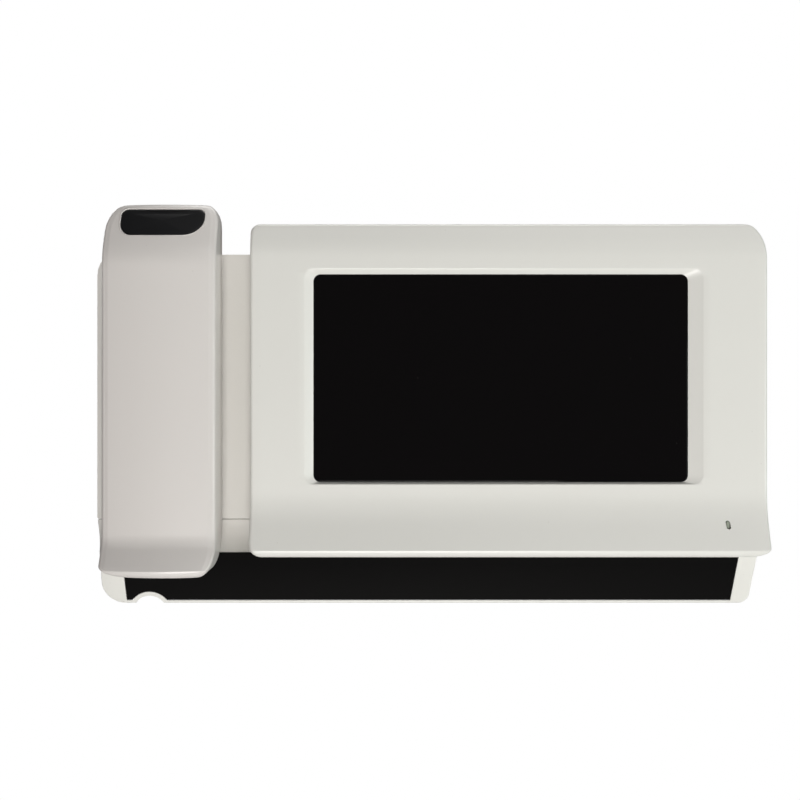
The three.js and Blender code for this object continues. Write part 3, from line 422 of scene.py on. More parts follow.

# %% [markdown]
# ## Metal and boards
# Zinc-plated sheet shows pale crystal patches, so a cell pattern shifts its grey and its gloss.
# Bright screws get the same cells, finer and fainter. A circuit board is a green film with fine
# tracks; the parts standing on it are darker, and since board and parts are one solid, their height
# above the board picks the colour.

# %% Metal finishes
CELL_SHINIER, CELL_DULLER = 0.06, 0.08
METAL_GRAIN, METAL_BUMP, METAL_DEPTH = 1400.0, 0.12, 0.1 * MM


def metal(name, tone, gloss, cell_scale, cell_drift):
    """Plated metal: crystal cells shift the tone and the roughness, fine noise lifts the surface."""
    material = bpy.data.materials.new(name)
    material.use_nodes = True
    tree = material.node_tree
    shader = tree.nodes["Principled BSDF"]
    shader.inputs["Metallic"].default_value = 1.0
    place = tree.nodes.new("ShaderNodeTexCoord").outputs["Object"]
    cells = tree.nodes.new("ShaderNodeTexVoronoi")
    cells.inputs["Scale"].default_value = cell_scale
    tree.links.new(place, cells.inputs["Vector"])
    pick = tree.nodes.new("ShaderNodeSeparateColor")
    tree.links.new(cells.outputs["Color"], pick.inputs["Color"])
    blend = tree.nodes.new("ShaderNodeMix")
    blend.data_type = "RGBA"
    blend.inputs["A"].default_value = (*[c * (1 - cell_drift) for c in tone], 1)
    blend.inputs["B"].default_value = (*[min(1, c * (1 + cell_drift)) for c in tone], 1)
    tree.links.new(pick.outputs["Red"], blend.inputs["Factor"])
    tree.links.new(blend.outputs["Result"], shader.inputs["Base Color"])
    cell_gloss = add_ramp(tree, pick.outputs["Green"], 0, 1, gloss - CELL_SHINIER, gloss + CELL_DULLER)
    tree.links.new(cell_gloss, shader.inputs["Roughness"])
    grain = add_noise(tree, place, 3.0)
    grain.inputs["Scale"].default_value = METAL_GRAIN
    bump = tree.nodes.new("ShaderNodeBump")
    bump.inputs["Strength"].default_value = METAL_BUMP
    bump.inputs["Distance"].default_value = METAL_DEPTH
    tree.links.new(grain.outputs["Fac"], bump.inputs["Height"])
    tree.links.new(bump.outputs["Normal"], shader.inputs["Normal"])
    return material


FINISH["zinc_steel"] = metal("zinc_sheet", (0.56, 0.575, 0.6), 0.36, 160.0, 0.12)
FINISH["screw_steel"] = metal("screw_nickel", (0.7, 0.7, 0.69), 0.24, 700.0, 0.05)
print("metals:", FINISH["zinc_steel"].name, FINISH["screw_steel"].name)

# %% Circuit boards
BOARD_GREEN, TRACK_GREEN = (0.018, 0.14, 0.06), (0.045, 0.26, 0.12, 1)
FILM_DARK, FILM_LIGHT = (0.016, 0.13, 0.055, 1), (0.02, 0.15, 0.066, 1)
PART_BLACK = (0.02, 0.02, 0.022, 1)
BOARD_SLACK = 0.05 * MM
BOARD_THICK = 1.6 * MM


def board_finish(name, board_back, board_front):
    """Green film with tracks between two depths, dark moulded parts in front of or behind them."""
    material = moulded(name, BOARD_GREEN, 0.32, bump=0.1, grain=1500.0)
    tree = material.node_tree
    shader = tree.nodes["Principled BSDF"]
    place = tree.nodes.new("ShaderNodeTexCoord").outputs["Object"]
    axes = tree.nodes.new("ShaderNodeSeparateXYZ")
    tree.links.new(place, axes.inputs["Vector"])
    tracks = tree.nodes.new("ShaderNodeTexBrick")
    tracks.inputs["Scale"].default_value = 190.0
    tracks.inputs["Mortar Size"].default_value = 0.05
    tracks.inputs["Color1"].default_value = FILM_DARK
    tracks.inputs["Color2"].default_value = FILM_LIGHT
    tracks.inputs["Mortar"].default_value = TRACK_GREEN
    flat = tree.nodes.new("ShaderNodeCombineXYZ")
    tree.links.new(axes.outputs["X"], flat.inputs["X"])
    tree.links.new(axes.outputs["Z"], flat.inputs["Y"])
    tree.links.new(flat.outputs["Vector"], tracks.inputs["Vector"])
    behind = add_math(tree, "GREATER_THAN", axes.outputs["Y"], board_back + BOARD_SLACK)
    ahead = add_math(tree, "LESS_THAN", axes.outputs["Y"], board_front - BOARD_SLACK)
    parts = add_math(tree, "MAXIMUM", behind, ahead)
    mix = tree.nodes.new("ShaderNodeMix")
    mix.data_type = "RGBA"
    mix.inputs["B"].default_value = PART_BLACK
    tree.links.new(parts, mix.inputs["Factor"])
    tree.links.new(tracks.outputs["Color"], mix.inputs["A"])
    tree.links.new(mix.outputs["Result"], shader.inputs["Base Color"])
    return material


ANYWHERE = 1.0
MAIN_BOARD_BACK, POWER_BOARD_BACK = -25.0 * MM, -8.5 * MM
FINISH["circuit_board"] = board_finish("board_green", ANYWHERE, -ANYWHERE)
OWN_FINISH = {
    "handset_front_shell": HANDSET_SHADED_PLASTIC,
    "handset_rear_shell": HANDSET_SHADED_PLASTIC,
    "main_board": board_finish("main_board_green", MAIN_BOARD_BACK, MAIN_BOARD_BACK - BOARD_THICK),
    "power_board": board_finish("power_board_green", POWER_BOARD_BACK, POWER_BOARD_BACK - BOARD_THICK),
}
print("finishes:", sorted(FINISH))

# %% [markdown]
# ## Surfaces from two parameters
# The cover, the handset and the lower nose share one idea: level slices, stacked upwards, whose
# front edge follows a wave seen from the side. One function can make all of them: it takes the
# outline's four corners, the wave, the crown across the width and the rounding of the front edge. A
# subdivided box could be pushed into shape by hand, but then nothing would guarantee that it agrees
# with the frame.

# %% Wave-shaped bodies as numpy grids
def bend(distance, start, end, slope):
    """A filleted kink: zero up to start, a parabola between start and end, then a straight slope."""
    curve = slope * np.clip(distance - start, 0, end - start) ** 2 / (2 * (end - start))
    return curve + slope * np.clip(distance - end, 0, None)


def corner_bite(distance, width, height):
    """Quarter-ellipse corner: width * (1 - sqrt(1 - u^2)), u falling from one to zero over height."""
    u = np.clip(1 - distance / height, 0, 1)
    return width * (1 - np.sqrt(np.maximum(0, 1 - u * u)))


def spaced(low, high, count, power=2.0):
    """Numbers from low to high that crowd towards both ends.

    With t from -1 to 1, each number sits at sign(t) * (1 - (1 - |t|)^power) of the half width.
    """
    t = np.linspace(-1, 1, count)
    eased = np.sign(t) * (1 - (1 - np.abs(t)) ** power)
    return low + (high - low) * (eased + 1) / 2


LEAST_CORNER, LEAST_EDGE = 0.3, 0.35
EDGE_CROWDING = 3.0


def wave_points(form, thickness=0.0, across=48, levels=160, arc=8):
    """Rings of points of a wave body in millimetres, as an array levels x ring x 3.

    Each ring is a level slice: a straight back, two sides set back by the corner ellipses, and a
    front at front(z) plus crown times the square of the distance from the middle, with a
    quarter-round edge at each side. The lowest and highest slices curl back over the rim and the
    top edge by radius * (1 - sqrt(1 - u^2)).
    """
    left, right, bottom, top = form["box"]
    bottom, top = bottom + thickness, top - thickness
    (lw, lh), (rw, rh), (tw, th), (sw, sh) = (
        (max(LEAST_CORNER, a - thickness), max(LEAST_CORNER, b - thickness)) for a, b in form["corners"]
    )
    z = spaced(bottom, top, levels, EDGE_CROWDING)
    for extra in form.get("extra_levels", ()):
        z = np.sort(np.append(z, extra))
    low, high = z - bottom, top - z
    x0 = left + thickness + corner_bite(low, lw, lh) + corner_bite(high, sw, sh)
    x1 = right - thickness - corner_bite(low, rw, rh) - corner_bite(high, tw, th)
    if "lean" in form:
        lean_left, lean_right = form["lean"]
        x0, x1 = x0 + lean_left(z), x1 - lean_right(z)
    rim, edge, crown = form["rim"], form["edge"], form["crown"]
    u = np.clip(1 - low / rim, 0, 1)
    v = np.clip(1 - high / edge, 0, 1)
    curl = rim * (1 - np.sqrt(1 - u * u)) + edge * (1 - np.sqrt(1 - v * v))
    front = form["front"](np.clip(z, form["box"][2] + form["rim"], None)) + thickness + curl
    back = form["back"](z) - thickness * form.get("closed_back", 1)
    turn = np.linspace(0, np.pi / 2, arc)
    radius = max(LEAST_EDGE, edge - thickness / 2)
    half = (x1 - x0) / 2
    middle = (x1 + x0) / 2
    inner = np.linspace(-1, 1, across)[None, :]
    face_x = middle[:, None] + (half - radius)[:, None] * inner
    face_y = front[:, None] + crown * ((face_x - middle[:, None]) / half[:, None]) ** 2
    side_y = (front + crown)[:, None] + radius * (1 - np.sin(turn))[None, :]
    left_x = x0[:, None] + radius * (1 - np.cos(turn))[None, :]
    right_x = x1[:, None] - radius * (1 - np.cos(turn[::-1]))[None, :]
    right_y = (front + crown)[:, None] + radius * (1 - np.sin(turn[::-1]))[None, :]
    ring_x = np.concatenate([x0[:, None], left_x, face_x[:, 1:-1], right_x, x1[:, None]], 1)
    ring_y = np.concatenate([back[:, None], side_y, face_y[:, 1:-1], right_y, back[:, None]], 1)
    ring_y = np.minimum(ring_y, back[:, None])
    ring_z = np.broadcast_to(z[:, None], ring_x.shape)
    return np.stack([ring_x, ring_y, ring_z], -1)


def loft_mesh(name, rings):
    """A closed mesh through rings of equal length, its two ends closed by one face each."""
    count, around = rings.shape[:2]
    here = np.arange(count - 1)[:, None] * around + np.arange(around)[None, :]
    following = np.arange(count - 1)[:, None] * around + (np.arange(around)[None, :] + 1) % around
    quads = np.stack([here, following, following + around, here + around], -1).reshape(-1, 4)
    faces = quads.tolist()
    faces.append(list(range(around))[::-1])
    faces.append(list(range((count - 1) * around, count * around)))
    mesh = bpy.data.meshes.new(name)
    mesh.from_pydata((rings.reshape(-1, 3) * MM).tolist(), [], faces)
    mesh.validate()
    return mesh


def as_object(name, mesh):
    """An object at the origin that holds the mesh."""
    made = bpy.data.objects.new(name, mesh)
    bpy.context.scene.collection.objects.link(made)
    return made


def wave_object(name, form, thickness=0.0, **grid):
    """A wave body as an object."""
    return as_object(name, loft_mesh(name, wave_points(form, thickness, **grid)))


def box_object(name, low, high):
    """A box between two corners in millimetres."""
    x0, y0, z0 = low
    x1, y1, z1 = high
    rings = [[(x0, y1, z), (x0, y0, z), (x1, y0, z), (x1, y1, z)] for z in (z0, z1)]
    return as_object(name, loft_mesh(name, np.array(rings, float)))


def soft_outline(box, corners, steps=14):
    """Points round an X-Z outline, anticlockwise, a quarter ellipse (rx cos, rz sin) at each corner."""
    left, right, bottom, top = box
    (lw, lh), (rw, rh), (tw, th), (sw, sh) = corners
    angles = np.linspace(0, np.pi / 2, steps)
    quarters = [
        (left + lw, bottom + lh, lw, lh, np.pi),
        (right - rw, bottom + rh, rw, rh, 1.5 * np.pi),
        (right - tw, top - th, tw, th, 0),
        (left + sw, top - sh, sw, sh, 0.5 * np.pi),
    ]
    parts = [
        np.stack([cx + rx * np.cos(start + angles), cz + rz * np.sin(start + angles)], -1)
        for cx, cz, rx, rz, start in quarters
    ]
    return np.concatenate(parts)


def ring_at(outline, depth):
    """An X-Z outline placed at one depth, or at a depth for each of its points."""
    y = np.broadcast_to(depth, outline.shape[:1])
    return np.stack([outline[:, 0], y, outline[:, 1]], -1)


def stack_object(name, rings):
    """A closed object through X-Z rings that run from the back to the front."""
    return as_object(name, loft_mesh(name, np.array(rings)))


def keep_result(made):
    """Keeps the mesh that the object's modifiers give, and drops the modifiers."""
    bpy.context.view_layer.update()
    shaped = made.evaluated_get(bpy.context.evaluated_depsgraph_get())
    result = bpy.data.meshes.new_from_object(shaped)
    made.modifiers.clear()
    made.data = result


def boolean_with(made, operation, tool):
    """One exact Boolean of the object with a tool, which is then removed."""
    modifier = made.modifiers.new("boolean", "BOOLEAN")
    modifier.operation = operation
    modifier.solver = "EXACT"
    modifier.object = tool
    keep_result(made)
    bpy.data.objects.remove(tool)


def cut_away(made, *tools):
    """Cuts each tool out of the object."""
    for tool in tools:
        boolean_with(made, "DIFFERENCE", tool)


def finish_of(node):
    """The node's own finish where it has one, else the finish of its slot."""
    return OWN_FINISH.get(node, FINISH[slot_of_node[node]])


def finish_piece(made, node, sharp=32.0, replaced=True):
    """Smooth faces, edges crisp past an angle in degrees, and the node's finish, body and slot."""
    made.data.polygons.foreach_set("use_smooth", np.ones(len(made.data.polygons), bool))
    made.data.set_sharp_from_angle(angle=math.radians(sharp))
    made.data.materials.clear()
    made.data.materials.append(finish_of(node))
    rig.ride(made, body_of_node[node])
    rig.slot(made, slot_of_node[node])
    if replaced:
        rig.replaces(made, node)
    print(made.name, len(made.data.polygons), "faces")
    return made


along = np.array([0.0, 0.25, 0.5, 1.0])
print("a unit corner's set-back along its height:", corner_bite(along, 1, 1).round(3))

# %% [markdown]
# ## The display cover
# One moulding wraps the screen. From the side it is a wave: flat in the middle, falling back at the
# top, kicking forward at the bottom to a lip with a rounded rim. Its upper right corner is a wide
# ellipse, the lower right a low one. The wave body gives all that in one surface; exact Booleans
# then hollow it, sink the bevelled frame for the screen and open the light slot, as the mould does.

# %% Cover dimensions, read from the frame where it has them
WALL = 2.2
PARTING = -21.8
FIT = 0.4


def node_box(node):
    """Lowest and highest corner of a frame node, in millimetres."""
    low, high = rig.box(node)
    return np.array(low) / MM, np.array(high) / MM


def equal_corners(radius):
    """The same round corner four times."""
    return ((radius, radius),) * 4


def grown(box, by):
    """An X-Z box made larger on every side."""
    return (box[0] - by, box[1] + by, box[2] - by, box[3] + by)


cover_low, cover_high = node_box("front_cover")
lens_low, lens_high = node_box("screen_lens")
LENS_FLANGE = 3.0
WINDOW = grown((lens_low[0], lens_high[0], lens_low[2], lens_high[2]), -LENS_FLANGE)
BEVEL_LEFT, BEVEL_RIGHT, BEVEL_BELOW, BEVEL_ABOVE = 3.6, 5.9, 0.8, 2.0
RECESS = (
    WINDOW[0] - BEVEL_LEFT,
    WINDOW[1] + BEVEL_RIGHT,
    WINDOW[2] - BEVEL_BELOW,
    WINDOW[3] + BEVEL_ABOVE,
)
RECESS_DEPTH = 1.8
COVER_FACE = COVER_FRONT / MM
COVER_RIM = 3.0
LEVEL_GAP = 0.02

COVER = {
    "box": (cover_low[0], cover_high[0], cover_low[2], cover_high[2]),
    "corners": ((5.2, 6), (10, 3.7), (8.3, 15), (4, 4)),
    "front": lambda z: COVER_FACE + bend(z, 62, 69.5, 0.364) - bend(-z, 36.7, 49.1, 0.457),
    "back": lambda z: np.full_like(z, PARTING),
    "crown": 0.0,
    "rim": COVER_RIM,
    "edge": 1.5,
    "extra_levels": (cover_low[2] + COVER_RIM, cover_low[2] + COVER_RIM + LEVEL_GAP),
}
print("cover", [round(float(v), 2) for v in COVER["box"]])
print("window", [round(float(v), 2) for v in WINDOW])

# %% Dimensions of the lower nose's flare
SEAM, RIDGE = -48.8, -61.9
CRADLE_FACE, RIDGE_FACE, NOSE_BOTTOM_FACE = -24.0, -31.0, -22.8
base_bottom = node_box("lower_housing")[0][2]
flare_rise, flare_out = SEAM - RIDGE, CRADLE_FACE - RIDGE_FACE
FLARE_RADIUS = (flare_rise**2 + flare_out**2) / (2 * flare_out)
STRIP_SLOPE = (NOSE_BOTTOM_FACE - RIDGE_FACE) / (RIDGE - base_bottom)


def nose_front(z):
    """Front of the lower nose: an arc from the upright seam to the ridge, then a slope back."""
    drop = np.clip(SEAM - z, 0, SEAM - RIDGE)
    arc = CRADLE_FACE - FLARE_RADIUS + np.sqrt(FLARE_RADIUS**2 - drop**2)
    return arc + STRIP_SLOPE * np.clip(RIDGE - z, 0, None)


print("flare radius", round(FLARE_RADIUS, 2), "strip slope", round(STRIP_SLOPE, 3))

# %% Shape the cover
def recalculate_normals(mesh):
    """Merges doubles and turns every face outwards."""
    soft = bmesh.new()
    soft.from_mesh(mesh)
    bmesh.ops.remove_doubles(soft, verts=soft.verts, dist=1e-7)
    bmesh.ops.recalc_face_normals(soft, faces=soft.faces)
    soft.to_mesh(mesh)
    soft.free()


SLOPE_STRETCH = 1.2
BELOW_NOSE = 5.0


def nose_block(name, margin, x0, x1):
    """The nose's side profile, grown by a margin and pushed along X, as a cutting tool."""
    z = np.linspace(base_bottom - BELOW_NOSE, SEAM + margin, 60)
    front = nose_front(np.minimum(z, SEAM)) - margin * SLOPE_STRETCH
    y = np.concatenate([front, [0.0, 0.0]])
    height = np.concatenate([z, [z[-1], z[0]]])
    sections = [np.stack([np.full_like(y, x), y, height], -1) for x in (x0, x1)]
    made = as_object(name, loft_mesh(name, np.array(sections)))
    recalculate_normals(made.data)
    return made


RECESS_CORNER, WINDOW_CORNER = 4.0, 3.0
CORNER_STEPS = 10
BREAK_WIDTH, BREAK_DEPTH = 0.28, 0.1
ABOVE_WIDTH, ABOVE_HEIGHT = 0.9, 0.23
THROUGH_WALL = 8.0


def recess_outline(margin):
    """The recess's outline at the face, grown by a margin."""
    return soft_outline(grown(RECESS, margin), equal_corners(RECESS_CORNER + margin), CORNER_STEPS)


def recess_tool():
    """A funnel: a small chamfer at the face, the bevel down to the window, then straight through."""
    window = soft_outline(WINDOW, equal_corners(WINDOW_CORNER), CORNER_STEPS)
    floor = COVER_FACE + RECESS_DEPTH
    rings = [
        ring_at(window, floor + THROUGH_WALL),
        ring_at(window, floor),
        ring_at(recess_outline(0), COVER_FACE + BREAK_DEPTH),
        ring_at(recess_outline(BREAK_WIDTH), COVER_FACE),
        ring_at(recess_outline(ABOVE_WIDTH), COVER_FACE - ABOVE_HEIGHT),
    ]
    return stack_object("recess_tool", rings)


LIGHT_X, LIGHT_Z = 124.1, -49.3
LIGHT_SIZE = (1.5, 3.2)
LIGHT_LEAN = 0.12
LIGHT_ROUNDING = 0.98


def light_outline(margin):
    """The status light's rounded slot, leaning a little."""
    half_w, half_h = LIGHT_SIZE[0] / 2 + margin, LIGHT_SIZE[1] / 2 + margin
    corners = equal_corners(half_w * LIGHT_ROUNDING)
    outline = soft_outline((-half_w, half_w, -half_h, half_h), corners, 8)
    lean = outline[:, 1] * -LIGHT_LEAN
    return outline + np.stack([LIGHT_X + lean, np.full(len(outline), LIGHT_Z)], -1)


PAST_PARTING = 6.0
NOSE_GAP, LIGHT_GAP = 0.5, 0.15
NOSE_WAY_LEFT, END_WALL = -110, 1
PANEL_WAY_LEFT, PANEL_WAY_BOTTOM = -90, -60
LIGHT_HOLE_DEPTHS = (-30, -60)


def open_inside(form):
    """The same wave body, its back carried past the parting plane, to hollow a shell open behind."""
    return dict(form, back=lambda z: np.full_like(z, PARTING + PAST_PARTING), closed_back=0)


cover = wave_object("display_cover", COVER, across=60, levels=190)
cover_hollow = wave_object("hollow", open_inside(COVER), WALL, across=30, levels=70)
nose_way = nose_block("nose_way", NOSE_GAP, NOSE_WAY_LEFT, cover_high[0] - END_WALL)
cradle_high = node_box("cradle_panel")[1]
panel_low = (PANEL_WAY_LEFT, CRADLE_FACE - FIT, PANEL_WAY_BOTTOM)
panel_way = box_object("panel_way", panel_low, (cradle_high[0] + FIT, 0, cradle_high[2] + FIT))
hole_rings = [ring_at(light_outline(LIGHT_GAP), y) for y in LIGHT_HOLE_DEPTHS]
light_hole = stack_object("light_hole", hole_rings)
cut_away(cover, cover_hollow, nose_way, panel_way)
cut_away(cover, recess_tool(), light_hole)
finish_piece(cover, "front_cover")

# %% [markdown]
# ## Window, light pipe and the black strip
# The window is a flat sheet let into the bevel, so it only needs a thin rounded edge. The strip
# lies in a bed on the nose's slope and is cut in an arch round the cord notch; both are stacks of
# outlines from back to front, with one more ring near the front to break the edge.

# %% Flat pieces with a broken edge
def sheet_object(name, outline_of, back, front, edge):
    """A flat sheet between two depths, its front edge a quarter round; outline_of takes a margin."""
    turns = np.linspace(0, np.pi / 2, 5)
    rings = [ring_at(outline_of(0), back)]
    for turn in turns:
        inset = edge * (1 - math.cos(turn))
        rings.append(ring_at(outline_of(-inset), front + edge * (1 - math.sin(turn))))
    return stack_object(name, rings)


WINDOW_GAP, WINDOW_EDGE = 0.2, 0.25
FLANGE_THICK, SHEET_OVERLAP = 1.3, 0.1
PIPE_GAP, PIPE_SUNK, PIPE_EDGE = 0.1, 0.3, 0.3


def window_outline(margin):
    """The window's outline inside the recess, grown by a margin."""
    inside = margin - WINDOW_GAP
    return soft_outline(grown(WINDOW, inside), equal_corners(WINDOW_CORNER + inside), CORNER_STEPS)


sheet_back = lens_high[1] - FLANGE_THICK - SHEET_OVERLAP
window = sheet_object("screen_window", window_outline, sheet_back, lens_low[1], WINDOW_EDGE)
flange_low = (lens_low[0], lens_high[1] - FLANGE_THICK, lens_low[2])
boolean_with(window, "UNION", box_object("window_flange", flange_low, tuple(lens_high)))
finish_piece(window, "screen_lens")


def pipe_outline(margin):
    """The light pipe's outline inside its slot, grown by a margin."""
    return light_outline(margin - PIPE_GAP)


pipe_back = node_box("status_light_pipe")[1][1]
pipe_face = float(COVER["front"](np.array([LIGHT_Z]))[0])
pipe = sheet_object("light_pipe", pipe_outline, pipe_back, pipe_face + PIPE_SUNK, PIPE_EDGE)
finish_piece(pipe, "status_light_pipe")

# %% Lower nose with the strip's bed
LEFT_TAPER, RIGHT_TAPER = 0.17, 0.11
HELD_BACK = cover_low[2] - FIT
nose_low, nose_high = node_box("lower_housing")
NOSE_RIGHT = nose_high[0]
INSIDE_COVER = cover_high[0] - WALL - FIT
SEAM_RISE = 0.2
RIDGE_ROUND, RIDGE_EASE = 0.3, 0.9
socket_low, socket_high = node_box("base_cord_socket")
CORD_X = (socket_low[0] + socket_high[0]) / 2
NOTCH_RADIUS, NOTCH_Z, NOTCH_RIM = 7.2, -88.5, 2.0
NOTCH_STEPS, NOTCH_DEPTHS = 72, (5.0, -60.0)


def left_lean(z):
    """The left end leans inwards as it goes down from the seam, and stands upright below the ridge."""
    return LEFT_TAPER * (SEAM - np.maximum(z, RIDGE))


def right_lean(z):
    """The right end stays inside the cover above its lower edge, and leans inwards below the ridge."""
    below = RIGHT_TAPER * np.clip(RIDGE - z, 0, None)
    return np.where(z > HELD_BACK, NOSE_RIGHT - INSIDE_COVER, below)


NOSE = {
    "box": (nose_low[0], NOSE_RIGHT, nose_low[2], SEAM + SEAM_RISE),
    "corners": ((10, 9), (4, 4), (0.6, 0.6), (0.6, 0.6)),
    "front": nose_front,
    "back": lambda z: np.full_like(z, PARTING),
    "crown": 0.0,
    "rim": 0.9,
    "edge": 0.3,
    "extra_levels": (
        RIDGE,
        RIDGE + RIDGE_ROUND,
        RIDGE - RIDGE_ROUND,
        RIDGE + RIDGE_EASE,
        HELD_BACK,
        HELD_BACK + LEVEL_GAP,
    ),
    "lean": (left_lean, right_lean),
}


def notch_tool(radius):
    """A round bar along Y that cuts the arch for the cord."""
    turns = np.linspace(0, 2 * np.pi, NOTCH_STEPS, endpoint=False)
    outline = np.stack([CORD_X + radius * np.cos(turns), NOTCH_Z + radius * np.sin(turns)], -1)
    return stack_object("notch", [ring_at(outline, depth) for depth in NOTCH_DEPTHS])


STRIP_THICK, STRIP_PROUD = 1.3, 0.02
BED_GAP, BED_UNDER, BED_OVER = 0.25, 0.3, 6.0
STRIP_FOOT, STRIP_HEAD = -83.1, RIDGE - BED_GAP
STRIP_CORNERS = np.array(
    [(-127.8, STRIP_FOOT), (129.6, STRIP_FOOT), (131.8, STRIP_HEAD), (-128.9, STRIP_HEAD)]
)


def strip_outline(margin):
    """The strip's outline, wider at its top, grown by a margin."""
    centre = STRIP_CORNERS.mean(0)
    return STRIP_CORNERS + np.sign(STRIP_CORNERS - centre) * margin


def strip_block(name, margin, under, over):
    """The strip's outline carried to two depths that follow the nose's slope."""
    outline = strip_outline(margin)
    slope = RIDGE_FACE + STRIP_SLOPE * (RIDGE - outline[:, 1])
    return stack_object(name, [ring_at(outline, slope + under), ring_at(outline, slope - over)])


NOSE_WALL = 2.4
BELOW_ALL, SOCKET_WAY_TOP = -95, -68
nose = wave_object("lower_nose", NOSE, across=70, levels=90)
nose_hollow = wave_object("hollow", open_inside(NOSE), NOSE_WALL, across=20, levels=40)
way_low = (socket_low[0] - FIT, socket_low[1] - FIT, BELOW_ALL)
socket_way = box_object("socket_way", way_low, (socket_high[0] + FIT, 0, SOCKET_WAY_TOP))
bed = strip_block("bed", BED_GAP, STRIP_THICK + BED_UNDER, BED_OVER)
cut_away(bed, notch_tool(NOTCH_RADIUS + NOTCH_RIM - BED_GAP))
cut_away(nose, nose_hollow, bed, notch_tool(NOTCH_RADIUS))
cut_away(nose, socket_way)
finish_piece(nose, "lower_housing")

strip = strip_block("touch_strip", 0.0, STRIP_THICK, STRIP_PROUD)
cut_away(strip, notch_tool(NOTCH_RADIUS + NOTCH_RIM))
finish_piece(strip, "key_strip")

# %% [markdown]
# ## The handset
# It is the same wave in small: a crowned face that falls back at the earpiece and kicks forward at
# the mouthpiece. The front shell is hollow and open at the parting line; its chin wraps round to
# the back. The black insert sits in a shallow bed at the top, with a thin polished lip round it
# that catches the light.

# %% Front shell of the handset
shell_low, shell_high = node_box("handset_front_shell")
insert_low, insert_high = node_box("ear_insert")
HANDSET_X = (shell_low[0] + shell_high[0]) / 2
HANDSET_BACK, HANDSET_SPLIT, HANDSET_FACE = -25.0, -30.2, -50.0
HANDSET_RIM = 3.0
CHIN_STEP = 7.5


def handset_back(z):
    """The back: flat, then a bend forward below the grip that stops at the chin's step."""
    return HANDSET_BACK - np.minimum(CHIN_STEP, bend(-z, 50, 57, 0.95))


HANDSET = {
    "box": (shell_low[0], shell_high[0], shell_low[2], shell_high[2]),
    "corners": ((14, 5), (7, 11), (5.4, 8.5), (8, 12)),
    "front": lambda z: HANDSET_FACE + bend(z, 57.5, 68, 0.62) - bend(-z, 53, 59, 0.75),
    "back": lambda z: np.minimum(handset_back(z), HANDSET_SPLIT),
    "crown": 2.2,
    "rim": HANDSET_RIM,
    "edge": 1.7,
    "extra_levels": (shell_low[2] + HANDSET_RIM, shell_low[2] + HANDSET_RIM + LEVEL_GAP),
}


def handset_face(outline):
    """Depth of the crowned face under each point of an outline: front(z) + crown * share^2."""
    half = (shell_high[0] - shell_low[0]) / 2
    share = (outline[:, 0] - HANDSET_X) / half
    return HANDSET["front"](outline[:, 1]) + HANDSET["crown"] * share**2


INSERT_CORNERS = ((4.6, 5.6), (8.7, 7.5), (2.8, 2.4), (3.1, 2.7))


def insert_outline(margin):
    """The insert's outline: small corners above, a wide one at the lower right."""
    box = (insert_low[0], insert_high[0], insert_low[2], insert_high[2])
    return soft_outline(grown(box, margin), [(a + margin, b + margin) for a, b in INSERT_CORNERS], 16)


def face_rings(layers):
    """Rings that follow the handset's face, one for each pair of margin and depth under the face."""
    outlines = [(insert_outline(margin), under) for margin, under in layers]
    return [ring_at(outline, handset_face(outline) + under) for outline, under in outlines]


MOUTH_WAY_TOP = -66
BED_LAYERS = ((0.25, 1.6), (0.25, 0.0), (0.5, -0.25), (0.5, -3))
handset = wave_object("handset_shell", HANDSET, across=60, levels=220)
handset_inside = dict(HANDSET, back=handset_back)
cut_away(handset, wave_object("hollow", handset_inside, WALL, across=24, levels=90))
mouth_low, mouth_high = node_box("handset_cord_socket")
way_low = (mouth_low[0] - FIT, mouth_low[1] - FIT, BELOW_ALL)
way_high = (mouth_high[0] + FIT, mouth_high[1] + FIT, MOUTH_WAY_TOP)
mouth_way = box_object("mouth_way", way_low, way_high)
cut_away(handset, mouth_way, stack_object("insert_bed", face_rings(BED_LAYERS)))
finish_piece(handset, "handset_front_shell")

# %% Black insert
INSERT_LAYERS = ((0, 1.4), (0, 0.35), (-0.06, 0.2), (-0.25, 0.08), (-0.6, 0.04), (-1.5, 0.03))
INNER_SHARES = (0.8, 0.6, 0.4, 0.2, 0.05)


def insert_piece():
    """The insert: a wall, a rounded edge, then rings middle + share * (outline - middle)."""
    last_margin, sunk = INSERT_LAYERS[-1]
    last = insert_outline(last_margin)
    middle = last.mean(0)
    rings = face_rings(INSERT_LAYERS)
    for share in INNER_SHARES:
        outline = middle + (last - middle) * share
        rings.append(ring_at(outline, handset_face(outline) + sunk))
    return stack_object("ear_window", rings)


finish_piece(insert_piece(), "ear_insert")

# %% Lip round the insert
LIP_MARGIN, LIP_SUNK, LIP_RADIUS = 0.45, 0.1, 0.3


def lip_object(radius, steps=10):
    """A thin round bar along the insert's outline: path + radius * (cos t * outward, sin t * depth)."""
    path = insert_outline(LIP_MARGIN)
    following, before = np.roll(path, -1, 0), np.roll(path, 1, 0)
    along = following - before
    along /= np.maximum(np.linalg.norm(along, axis=1, keepdims=True), 1e-9)
    outward = np.stack([along[:, 1], -along[:, 0]], -1)
    depth = handset_face(path)
    turns = np.linspace(0, 2 * np.pi, steps, endpoint=False)[:, None]
    x = path[:, 0] + outward[:, 0] * radius * np.cos(turns)
    y = depth + LIP_SUNK + radius * np.sin(turns)
    z = path[:, 1] + outward[:, 1] * radius * np.cos(turns)
    points = np.stack([x, y, z], -1)
    order = np.arange(points.shape[0] * points.shape[1]).reshape(points.shape[:2])
    ahead = np.roll(order, -1, 0)
    quads = np.stack([order, ahead, np.roll(ahead, -1, 1), np.roll(order, -1, 1)], -1).reshape(-1, 4)
    mesh = bpy.data.meshes.new("insert_lip")
    mesh.from_pydata((points.reshape(-1, 3) * MM).tolist(), [], quads.tolist())
    recalculate_normals(mesh)
    return as_object("insert_lip", mesh)


finish_piece(lip_object(LIP_RADIUS), "handset_front_shell", sharp=80, replaced=False)

